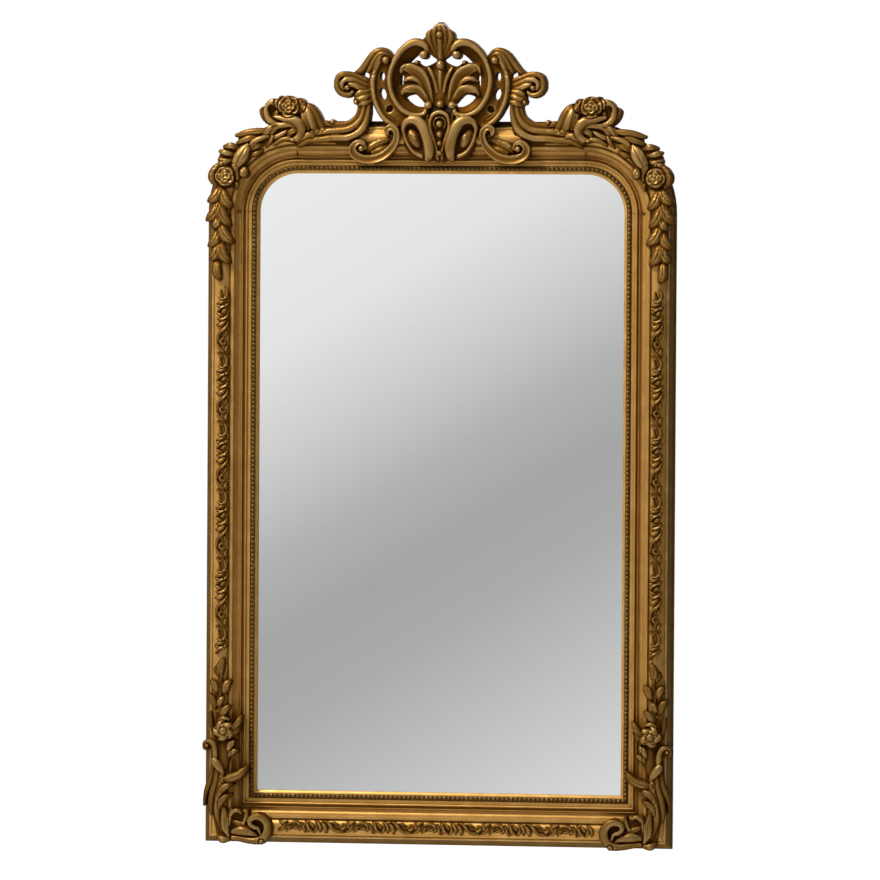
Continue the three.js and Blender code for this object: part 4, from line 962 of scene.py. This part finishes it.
def stations():
    """The six lengths by name: the places along each, as x, z and the direction outwards."""
    places = {name: [(side * HALF_SIGHT, SIGHT_BOTTOM + MITER_GAP, side, -1), (side * HALF_SIGHT, ARC_Z, side, 0)]
              for side, name in SIDES}
    places["bottom"] = [(side * (HALF_SIGHT - MITER_GAP), SIGHT_BOTTOM, side, -1) for side, _ in SIDES]
    places["top"] = [(side * ARC_X, SIGHT_TOP, 0, 1) for side, _ in SIDES]
    for side, name in SIDES:
        places[f"corner_{name}"] = corner_stations(side)
    return places


def sweep(section, places):
    return loft([[(x + ox * s, -h, z + oz * s) for s, h in section] for x, z, ox, oz in places])


def bead(x, z, rows=4, columns=12):
    """A half ball that stands on the slip."""
    base = SLIP_FLOOR + BEAD_SEAT
    vertices, faces = [], []
    for i in range(rows):
        lift = i / rows * QUARTER
        r = BEAD_RADIUS * math.cos(lift)
        vertices += [(x + r * math.cos(t), -base - BEAD_RISE * math.sin(lift), z + r * math.sin(t))
                     for t in (TURN * k / columns for k in range(columns))]
    vertices += [(x, -base - BEAD_RISE, z), (x, -base, z)]
    for i in range(rows - 1):
        faces += band(i * columns, (i + 1) * columns, columns)
    top, last = rows * columns, (rows - 1) * columns
    for k in range(columns):
        n = (k + 1) % columns
        faces += [(last + k, last + n, top), (n, k, top + 1)]
    return np.array(vertices), faces


def bead_row(places):
    """Beads at an even pitch along the middle of the slip."""
    middle = BEVEL + CHANNEL / 2
    line = np.array([(x + ox * middle, z + oz * middle) for x, z, ox, oz in places])
    spans = np.linalg.norm(np.diff(line, axis=0), axis=1)
    run = np.concatenate([[0], np.cumsum(spans)])
    count = max(1, round(run[-1] / BEAD_PITCH))
    at = [(i + 0.5) / count * run[-1] for i in range(count)]
    return [bead(np.interp(s, run, line[:, 0]), np.interp(s, run, line[:, 1])) for s in at]


def tone_side(rail, side_gilding):
    """The section's hollow outer side is toned, not gilded."""
    toned = [OUTER_END - 0.2 < x for x, _ in moulding_section()]
    rail.data.materials.append(side_gilding)
    for face in rail.data.polygons:
        if len(face.vertices) == 4 and toned[face.index % len(toned)]:
            face.material_index = 1


def make_lengths(gilding, side_gilding, dark_gilding):
    for name, places in stations().items():
        rail = new_object(f"gilded_moulding_{name}", *sweep(moulding_section(), places))
        finish_mesh(rail, SHARP_RAIL)
        dress(rail, gilding, f"moulding_{name}")
        tone_side(rail, side_gilding)
        slip = new_object(f"bead_row_{name}", *join([sweep(slip_section(), places)] + bead_row(places)))
        finish_mesh(slip, SHARP_BEAD)
        dress(slip, dark_gilding, f"beaded_slip_{name}")


# --- materials ---

class Shader:
    """Short ways to write the nodes of a material or of the world."""

    def __init__(self, owner):
        owner.use_nodes = True
        self.owner = owner
        self.nodes, self.links = owner.node_tree.nodes, owner.node_tree.links

    def feed(self, socket, value):
        """A number or a colour is set on the socket, and an output is linked to it."""
        if isinstance(value, (int, float)):
            socket.default_value = value
        elif isinstance(value, tuple):
            socket.default_value = (*value, 1)
        else:
            self.links.new(value, socket)

    def surface(self, values):
        """Feeds the Principled BSDF's inputs and gives the material."""
        for name, value in values.items():
            self.feed(self.nodes["Principled BSDF"].inputs[name], value)
        return self.owner

    def noise(self, scale, detail=4.0, stretch=None):
        texture = self.nodes.new("ShaderNodeTexNoise")
        texture.inputs["Scale"].default_value = scale
        texture.inputs["Detail"].default_value = detail
        source = self.nodes.new("ShaderNodeTexCoord").outputs["Object"]
        if stretch:
            mapping = self.nodes.new("ShaderNodeMapping")
            mapping.inputs["Scale"].default_value = stretch
            self.links.new(source, mapping.inputs["Vector"])
            source = mapping.outputs["Vector"]
        self.links.new(source, texture.inputs["Vector"])
        return texture.outputs["Fac"]

    def openness(self, distance):
        """1 in the open, and less where surfaces stand near."""
        node = self.nodes.new("ShaderNodeAmbientOcclusion")
        node.samples = 8
        node.inputs["Distance"].default_value = distance
        return node.outputs["AO"]

    def ramp(self, value, *stops):
        """A colour ramp; each stop is a place and a colour or a grey."""
        node = self.nodes.new("ShaderNodeValToRGB")
        elements = node.color_ramp.elements
        while len(elements) < len(stops):
            elements.new(0.5)
        for element, (place, colour) in zip(elements, stops):
            element.position = place
            element.color = (*colour, 1) if isinstance(colour, tuple) else (colour, colour, colour, 1)
        self.links.new(value, node.inputs["Fac"])
        return node.outputs["Color"]

    def mix(self, factor, a, b, blend="MIX"):
        node = self.nodes.new("ShaderNodeMix")
        node.data_type = "RGBA"
        node.blend_type = blend
        for name, value in (("Factor", factor), ("A", a), ("B", b)):
            self.feed(node.inputs[name], value)
        return node.outputs["Result"]

    def math(self, operation, *values, clamp=False):
        node = self.nodes.new("ShaderNodeMath")
        node.operation = operation
        node.use_clamp = clamp
        for socket, value in zip(node.inputs, values):
            self.feed(socket, value)
        return node.outputs[0]

    def bump(self, height, strength, distance):
        node = self.nodes.new("ShaderNodeBump")
        node.inputs["Strength"].default_value = strength
        node.inputs["Distance"].default_value = distance
        self.links.new(height, node.inputs["Height"])
        return node.outputs["Normal"]


def new_shader(name):
    return Shader(bpy.data.materials.new(name))


# how near a surface has to be to shade a hollow, in metres
CARVED_HOLLOW = 0.010
RAIL_HOLLOW = 0.006
BROAD_HOLLOW = 0.030
RAIL_COVER = 0.86
# share of the gold that is left, darkened by painted shade and raised to a painted highlight, and its colour there
GOLD = [(0.05, (0.046, 0.0145, 0.0012)), (0.30, (0.088, 0.034, 0.0040)), (0.60, (0.150, 0.071, 0.0145)),
        (0.80, (0.215, 0.115, 0.030)), (0.97, (0.32, 0.195, 0.066))]


def gilding(name, carved, tone):
    """Old gilding: gold leaf rubbed pale on the high places, over a red-brown ground that shows in the hollows; with
    painted highlight on the high places and painted shade in the hollows and beside carvings.
    """
    s = new_shader(name)
    patches, grain = s.noise(30, 5), s.noise(420, 3)
    # painted shade: darker where other surfaces stand near, deepening the brown ground in the hollows
    near = s.openness(CARVED_HOLLOW if carved else RAIL_HOLLOW)
    cover_and_shading = s.ramp(near, (0.22, 0.30 if carved else 0.50), (0.82, 1.0))
    if carved:
        # the wear attribute darkens hollows with the brown ground and painted shade, and paints a highlight on proud
        # edges
        wear_and_shading = s.nodes.new("ShaderNodeAttribute")
        wear_and_shading.attribute_name = "wear_and_shading"
        proud = s.ramp(wear_and_shading.outputs["Fac"], (0.26, 0.20), (0.50, 0.56), (0.76, 1.0))
        cover_and_shading = s.math("MULTIPLY", proud, cover_and_shading)
    cover_and_shading = s.math("MULTIPLY", cover_and_shading, s.ramp(patches, (0.30, 0.86), (0.70, 1.0)), clamp=True)
    if not carved:
        # painted shade: the broad hollows and the ground beside a carving are darkened where they would lie in shade
        cover_and_shading = s.math("MULTIPLY", cover_and_shading, s.ramp(s.openness(BROAD_HOLLOW), (0.30, 0.40), (0.74, RAIL_COVER)))
    gold = s.ramp(cover_and_shading, *[(place, tuple(c * tone for c in colour)) for place, colour in GOLD])
    speck = s.ramp(grain, (0.36, 0.80), (0.60, 1.0))
    return s.surface({"Base Color": s.mix(0.6, gold, speck, "MULTIPLY"), "Specular IOR Level": 0.0,
                      "Metallic": s.ramp(cover_and_shading, (0.1, 0.12), (0.8, 0.5)),
                      "Roughness": s.ramp(grain, (0.3, 0.32), (0.75, 0.46)), "Normal": s.bump(grain, 0.2, 0.0005)})


def wood(name, light, dark, stretch, rings=22):
    s = new_shader(name)
    fibres = s.noise(rings * 14, 3, stretch)
    colour = s.ramp(s.noise(rings, 6, stretch), (0.32, dark), (0.68, light))
    colour = s.mix(0.35, colour, s.ramp(fibres, (0.3, 0.6), (0.7, 1.0)), "MULTIPLY")
    colour = s.mix(0.6, colour, s.ramp(s.noise(5, 3), (0.3, 0.78), (0.7, 1.0)), "MULTIPLY")
    return s.surface({"Base Color": colour, "Roughness": 0.72, "Normal": s.bump(fibres, 0.3, 0.0005)})


def metal(name, colour, roughness, scratch):
    s = new_shader(name)
    fine = s.noise(900, 2, scratch)
    spots = s.ramp(s.noise(130, 4), (0.3, 0.55), (0.7, 1.0))
    return s.surface({"Base Color": s.mix(0.5, colour, spots, "MULTIPLY"), "Metallic": 1.0,
                      "Roughness": s.ramp(fine, (0.3, roughness - 0.08), (0.7, roughness + 0.1)),
                      "Normal": s.bump(fine, 0.12, 0.0002)})


def silvering():
    """Old plate glass: a true mirror with the faintest haze and a few specks."""
    s = new_shader("mirror_silvering")
    return s.surface({"Base Color": s.ramp(s.noise(260, 2), (0.22, 0.70), (0.27, (0.93, 0.94, 0.94))), "Metallic": 1.0,
                      "Roughness": s.ramp(s.noise(3, 4), (0.3, 0.012), (0.8, 0.035))})


# --- hardware behind the frame ---

HEAD_RADIUS = 4
HEAD_RISE = 2.3
SCREW_SLOT = 0.55
SHANK = 1.9
THREAD_ROOT = 1.35
THREAD_PITCH = 2.2
PLAIN_SHANK = 4
RING_WIRE = 2.0
RING_HALF = 12.6
RING_BEND = 1.6
STRAP_THICK = 1.5
STRAP_SEAT = 0.3
STRAP_CORNER = 3.5
EYE_RADIUS = 3.8
EYE_BORE = 2.25
SHARP_METAL = 35


def lathe(cx, cz, profile, spokes=32):
    """A solid turned about a line along Y, from rows of (radius, y) that begin and end on the line."""
    inner = len(profile) - 2
    vertices = [(cx, profile[0][1], cz)]
    faces = []
    for k in range(spokes):
        turn = TURN * k / spokes
        vertices += [(cx + r * math.cos(turn), y, cz + r * math.sin(turn)) for r, y in profile[1:-1]]
        a, b = 1 + k * inner, 1 + (k + 1) % spokes * inner
        faces.append((0, b, a))
        faces += [(a + i, b + i, b + i + 1, a + i + 1) for i in range(inner - 1)]
        faces.append((a + inner - 1, b + inner - 1, 1 + spokes * inner))
    return np.array(vertices + [(cx, profile[-1][1], cz)], float), faces


def rounded_slab(outline, y0, y1, edge):
    """A flat piece with eased edges; the outline runs once round and needs no closing point."""
    points = np.array(outline, float)
    middle = points.mean(0)
    reach = np.linalg.norm(points - middle, axis=1)[:, None]
    rings = []
    for inset, y in ((edge, y0), (edge * 0.3, y0 + edge * 0.3), (0, y0 + edge), (0, y1 - edge),
                     (edge * 0.3, y1 - edge * 0.3), (edge, y1)):
        shrunk = middle + (points - middle) * (1 - inset / reach)
        rings.append([(x, y, z) for x, z in shrunk])
    return loft(rings)


def oblong(cx, cz, half_length, half_width):
    """The outline of a bar with round ends, lying along X."""
    run = half_length - half_width
    return arc(cx + run, cz, half_width, -90, 90, 12) + arc(cx - run, cz, half_width, 90, 270, 12)


def half_head(cx, cz, y, side, tilt):
    """One side of a slotted dome, cut off straight along the slot."""
    c, s = math.cos(tilt), math.sin(tilt)
    rings = []
    for lift in np.linspace(0.35, 1, 7):
        radius = HEAD_RADIUS * math.sqrt(max(1 - (lift * 0.93) ** 2, 0.02))
        edge = math.degrees(math.acos(SCREW_SLOT / radius))
        rings.append([(cx + side * px * c - pz * s, y + HEAD_RISE * lift, cz + side * px * s + pz * c)
                      for px, pz in arc(0, 0, radius, -edge, edge, 12)])
    return loft(rings)


def screw(cx, cz, seat, tip, tilt):
    """A slotted round-head wood screw driven along −Y, with its head standing on the seat."""
    profile = [(0, seat + HEAD_RISE * 0.42), (HEAD_RADIUS * 0.94, seat + HEAD_RISE * 0.42),
               (HEAD_RADIUS, seat + HEAD_RISE * 0.2), (HEAD_RADIUS * 0.97, seat + 0.02), (SHANK, seat)]
    y = seat - PLAIN_SHANK
    profile.append((SHANK, y))
    while y - THREAD_PITCH > tip + 3:
        profile += [(THREAD_ROOT, y - 0.3), (SHANK, y - THREAD_PITCH / 2), (THREAD_ROOT, y - THREAD_PITCH + 0.3)]
        y -= THREAD_PITCH
    profile += [(THREAD_ROOT * 0.7, tip + 1.4), (0, tip)]
    return join([lathe(cx, cz, profile)] + [half_head(cx, cz, seat, side, tilt) for side in (1, -1)])


def closed_wire(path, radius, sides=14):
    """A round wire along a closed path of (x, y, z) with y constant."""
    points = np.array(path, float)
    count = len(points)
    rings, faces = [], []
    for i in range(count):
        along = points[(i + 1) % count] - points[i - 1]
        along /= np.linalg.norm(along)
        across = np.array([-along[2], 0, along[0]])
        rings.append([points[i] + radius * (math.cos(t) * across + math.sin(t) * np.array([0, 1.0, 0]))
                      for t in np.linspace(0, TURN, sides, endpoint=False)])
        faces += band(i * sides, (i + 1) % count * sides, sides)
    return np.array(rings).reshape(-1, 3), faces


def ring_piece(cx, pivot_y, pivot_z, high_z):
    """A D-shaped ring whose straight bar turns in the strap's eye."""
    foot, bend = RING_HALF - RING_BEND, pivot_z + RING_BEND
    path = arc(cx - foot, bend, RING_BEND, 270, 180, 4)
    path += arc(cx, high_z - RING_WIRE - RING_HALF, RING_HALF, 180, 0, 24)
    path += arc(cx + foot, bend, RING_BEND, 0, -90, 4)
    path += [(cx + RING_HALF * 0.4, pivot_z), (cx - RING_HALF * 0.4, pivot_z)]
    return closed_wire([(x, pivot_y, z) for x, z in path], RING_WIRE)


def strap_piece(cx, low_z, half_width, pivot_y, pivot_z):
    """A flat strap whose top is rolled into an eye round the ring's bar."""
    inset, base = half_width - STRAP_CORNER, low_z + STRAP_CORNER
    outline = arc(cx - inset, base, STRAP_CORNER, 180, 270, 6) + arc(cx + inset, base, STRAP_CORNER, 270, 360, 6)
    outline += [(cx + half_width, pivot_z - 1), (cx - half_width, pivot_z - 1)]
    plate = rounded_slab(outline, STRAP_SEAT, STRAP_SEAT + STRAP_THICK, 0.35)
    section = arc(pivot_y, pivot_z, EYE_RADIUS, 185, -125, 27) + arc(pivot_y, pivot_z, EYE_BORE, -125, 185, 27)
    eye = [(x, y, z) for x in (cx - half_width, cx + half_width) for y, z in section]
    n = len(section)
    faces = band(0, n, n)
    for a in range(n // 2 - 1):
        b = n - 1 - a
        faces += [(a, b, b - 1, a + 1), (n + a, n + a + 1, n + b - 1, n + b)]
    return join([plate, (np.array(eye), faces)])


def add(name, piece, material, node, body="frame"):
    obj = new_object(name, *piece)
    finish_mesh(obj, SHARP_METAL)
    dress(obj, material, node, body)


def middle(node):
    low, high = box_mm(node)
    return [(a + b) / 2 for a, b in zip(low, high)]


def add_screw(name, node, steel, tilt, seat=None):
    """A screw in its node's box, which holds its head unless the seat is given."""
    low, high = box_mm(node)
    cx, _, cz = middle(node)
    add(name, screw(cx, cz, high[1] - HEAD_RISE if seat is None else seat, low[1], tilt), steel, node)


def make_hardware(brass, steel):
    tilt = 0.3
    for row in ("lower", "middle", "upper"):
        for _, side in SIDES:
            place = f"{row}_{side}"
            low, high = box_mm(f"turn_button_{place}")
            cx, _, cz = middle(f"turn_button_{place}")
            bar = rounded_slab(oblong(cx, cz, (high[0] - low[0]) / 2, (high[2] - low[2]) / 2), low[1], high[1], 0.5)
            add(f"brass_button_{place}", bar, brass, f"turn_button_{place}", f"button_{place}")
            tilt += 0.9
            add_screw(f"button_screw_{place}", f"turn_button_screw_{place}", steel, tilt, high[1])
    for _, side in SIDES:
        low, high = box_mm(f"hanger_strap_{side}")
        cx = (low[0] + high[0]) / 2
        pivot_y, pivot_z = middle(f"hanger_ring_{side}")[1], high[2] - EYE_RADIUS
        add(f"strap_{side}", strap_piece(cx, low[2], (high[0] - low[0]) / 2, pivot_y, pivot_z), steel,
            f"hanger_strap_{side}")
        add(f"dee_ring_{side}", ring_piece(cx, pivot_y, pivot_z, box_mm(f"hanger_ring_{side}")[1][2]), steel,
            f"hanger_ring_{side}", f"ring_{side}")
        for number in (1, 2):
            tilt += 0.7
            add_screw(f"strap_screw_{number}_{side}", f"hanger_screw_{number}_{side}", steel, tilt)
    for place in ("lower", "upper"):
        tilt += 0.7
        add_screw(f"batten_screw_{place}", f"crest_screw_{place}", steel, tilt)


# --- the dressed mirror ---

def paint_node(name, material, edge=0.0):
    """Gives a CAD node its material, and eased edges where a width is given."""
    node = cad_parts[name]
    if not node.material_slots:
        node.data.materials.append(material)
    for slot in node.material_slots:
        slot.material = material
    if edge:
        bevel = node.modifiers.new("eased_edges", "BEVEL")
        bevel.width = edge * MM
        bevel.segments = 2
        bevel.limit_method = "ANGLE"
        bevel.angle_limit = math.radians(40)


WOOD_EDGE = 0.8

leaf_gold = gilding("gilded_carving", True, 1.03)
foot_gold = gilding("gilded_foot", True, 0.84)
rail_gold = gilding("gilded_moulding", False, 2.0)
side_gold = gilding("toned_side", False, 0.55)
slip_gold = gilding("darkened_gilding", False, 0.62)
upright_pine = wood("pine_upright", (0.58, 0.37, 0.17), (0.36, 0.19, 0.07), (4, 4, 0.16))
level_pine = wood("pine_level", (0.56, 0.35, 0.16), (0.34, 0.18, 0.065), (0.16, 4, 4))
ply = wood("birch_plywood", (0.62, 0.46, 0.27), (0.47, 0.31, 0.16), (2.4, 2.4, 0.1), rings=14)
brass = metal("aged_brass", (0.52, 0.33, 0.10), 0.36, (1, 1, 0.2))
steel = metal("zinc_plated_steel", (0.50, 0.51, 0.52), 0.34, (1, 1, 1))
glass = silvering()

make_lengths(rail_gold, side_gold, slip_gold)
make_vines(leaf_gold)
for make_carving, name, gold in ((make_crest_wing, "crest_wing", leaf_gold),
                                 (make_corner_spray, "corner_spray", leaf_gold),
                                 (make_corner_foot, "corner_foot", foot_gold)):
    carving = make_carving()
    twin = mirror_object(carving, f"{name}_carving_right")
    dress(carving, gold, f"{name}_left")
    dress(twin, gold, f"{name}_right")
dress(make_crest_centre(), leaf_gold, "crest_centre")
make_hardware(brass, steel)

for name in ("back_stile_left", "back_stile_right", "crest_batten", "glazing_fillet_left", "glazing_fillet_right"):
    paint_node(name, upright_pine, WOOD_EDGE)
for name in ("back_rail_bottom", "back_rail_top", "back_corner_block_left", "back_corner_block_right",
             "glazing_fillet_bottom", "glazing_fillet_top"):
    paint_node(name, level_pine, WOOD_EDGE)
paint_node("backboard", ply)
paint_node("mirror_plate", glass)


# --- stage, lights and camera; metres and degrees from here on ---

AMBIENT = 0.17
FLOOR_COLOUR = (0.85, 0.85, 0.85)
FLOOR_LEVEL = -1.05
FLOOR_SEEN = 0.8
FLOOR_MIRRORED = 0.58
CARD_PLACE = (0, -3.0, 1.2)
CARD_MIDDLE = (-0.42, -3.0, 0.62)
CARD_SLOPE = 0.6
CARD_START = 2.2
CARD_SPAN = 2.6
CARD_GREYS = [(0.0, 0.95), (0.30, 0.82), (0.42, 0.62), (0.50, 0.47), (0.58, 0.40), (0.66, 0.43), (0.76, 0.54),
              (1.0, 0.85)]
LAMP_AIM = (0, 0, 0.75)
LAMP_DISTANCE = 5
# name, azimuth, elevation, size and power
LAMPS = [("key", -44, 51, 1.4, 390), ("fill", -5, 12, 3.0, 35), ("back_fill", 180, 25, 3.0, 170)]
CAMERA_AIM = (0.0022, -0.045, 0.778)
CAMERA_AZIMUTH = 8
CAMERA_ELEVATION = 1.5
CAMERA_DISTANCE = 14
CAMERA_LENS = 286.4
CAMERA_ROLL = 0.35


def ray_world():
    """Dim for the object, and white where it is seen directly, in metal or through glass."""
    world = bpy.data.worlds.new("studio")
    bpy.context.scene.world = world
    s = Shader(world)
    path = s.nodes.new("ShaderNodeLightPath").outputs
    seen = s.math("MAXIMUM", path["Is Camera Ray"], path["Is Transmission Ray"])
    seen = s.math("MAXIMUM", seen, path["Is Glossy Ray"])
    background = s.nodes["Background"].inputs
    s.feed(background["Color"], (1, 1, 1))
    s.feed(background["Strength"], s.math("MULTIPLY_ADD", seen, 1 - AMBIENT, AMBIENT))


def stage_plane(name, size, place, rotation, material):
    bpy.ops.mesh.primitive_plane_add(size=1, location=place, rotation=rotation)
    plane = bpy.context.object
    plane.name = name
    plane.scale = (*size, 1)
    plane.data.materials.append(material)
    return plane


def floor_material():
    s = new_shader("pale_floor")
    path = s.nodes.new("ShaderNodeLightPath").outputs
    mirrored = s.math("MULTIPLY", path["Is Glossy Ray"], FLOOR_MIRRORED)
    direct = s.math("MAXIMUM", path["Is Camera Ray"], path["Is Transmission Ray"])
    seen = s.math("MULTIPLY_ADD", direct, FLOOR_SEEN, mirrored)
    return s.surface({"Base Color": FLOOR_COLOUR, "Roughness": 0.9, "Emission Color": (1, 1, 1),
                      "Emission Strength": seen})


def card_material():
    """The soft grey room that the plate reflects: pale to the upper left and lower right, dimmer between."""
    s = new_shader("room_card")
    s.nodes.remove(s.nodes["Principled BSDF"])
    emission = s.nodes.new("ShaderNodeEmission")
    s.feed(s.nodes["Material Output"].inputs["Surface"], emission.outputs[0])
    place = s.nodes.new("ShaderNodeNewGeometry").outputs["Position"]
    split = s.nodes.new("ShaderNodeSeparateXYZ")
    s.feed(split.inputs[0], place)
    # distance down and to the right of the plate's upper left corner, as the camera sees it
    along = s.math("SUBTRACT", s.math("MULTIPLY_ADD", split.outputs["X"], CARD_SLOPE, CARD_START), split.outputs["Z"])
    near = s.ramp(s.math("DIVIDE", along, CARD_SPAN), *CARD_GREYS)
    far = s.ramp(s.math("MULTIPLY_ADD", along, 0.1, 0.5), (0.30, 1.0), (0.48, 0.55), (0.62, 0.10))
    distance = s.nodes.new("ShaderNodeVectorMath")
    distance.operation = "DISTANCE"
    distance.inputs[1].default_value = CARD_MIDDLE
    s.feed(distance.inputs[0], place)
    inner = s.ramp(s.math("MULTIPLY", distance.outputs["Value"], 0.2), (0.22, 1.0), (0.42, 0.0))
    s.feed(emission.inputs["Color"], s.mix(inner, far, near))
    return s.owner


def towards(azimuth, elevation):
    """The direction from the mirror to a lamp or the camera; azimuth 0 is in front of it."""
    a, e = math.radians(azimuth), math.radians(elevation)
    return Vector((math.sin(a) * math.cos(e), -math.cos(a) * math.cos(e), math.sin(e)))


def area_lamp(name, azimuth, elevation, size, power):
    data = bpy.data.lights.new(name, "AREA")
    data.shape = "DISK"
    data.size = size
    data.energy = power
    lamp = link(name, data)
    way = towards(azimuth, elevation)
    lamp.location = Vector(LAMP_AIM) + way * LAMP_DISTANCE
    lamp.rotation_euler = way.to_track_quat("Z", "Y").to_euler()


def place_camera():
    data = bpy.data.cameras.new("camera")
    data.sensor_width = 36
    data.lens = CAMERA_LENS
    data.clip_end = 100
    camera = link("camera", data)
    way = towards(CAMERA_AZIMUTH, CAMERA_ELEVATION)
    camera.location = Vector(CAMERA_AIM) + way * CAMERA_DISTANCE
    look = (-way).to_track_quat("-Z", "Y").to_matrix()
    camera.rotation_euler = (look @ Matrix.Rotation(math.radians(CAMERA_ROLL), 3, "Z")).to_euler()
    bpy.context.scene.camera = camera


ray_world()
stage_plane("floor", (60, 60), (0, 0, FLOOR_LEVEL), (0, 0, 0), floor_material())
card = stage_plane("room_card", (24, 14), CARD_PLACE, (QUARTER, 0, 0), card_material())
card.visible_camera = card.visible_diffuse = card.visible_shadow = card.visible_transmission = False
for lamp in LAMPS:
    area_lamp(*lamp)
place_camera()
bpy.context.scene.view_settings.view_transform = "Standard"
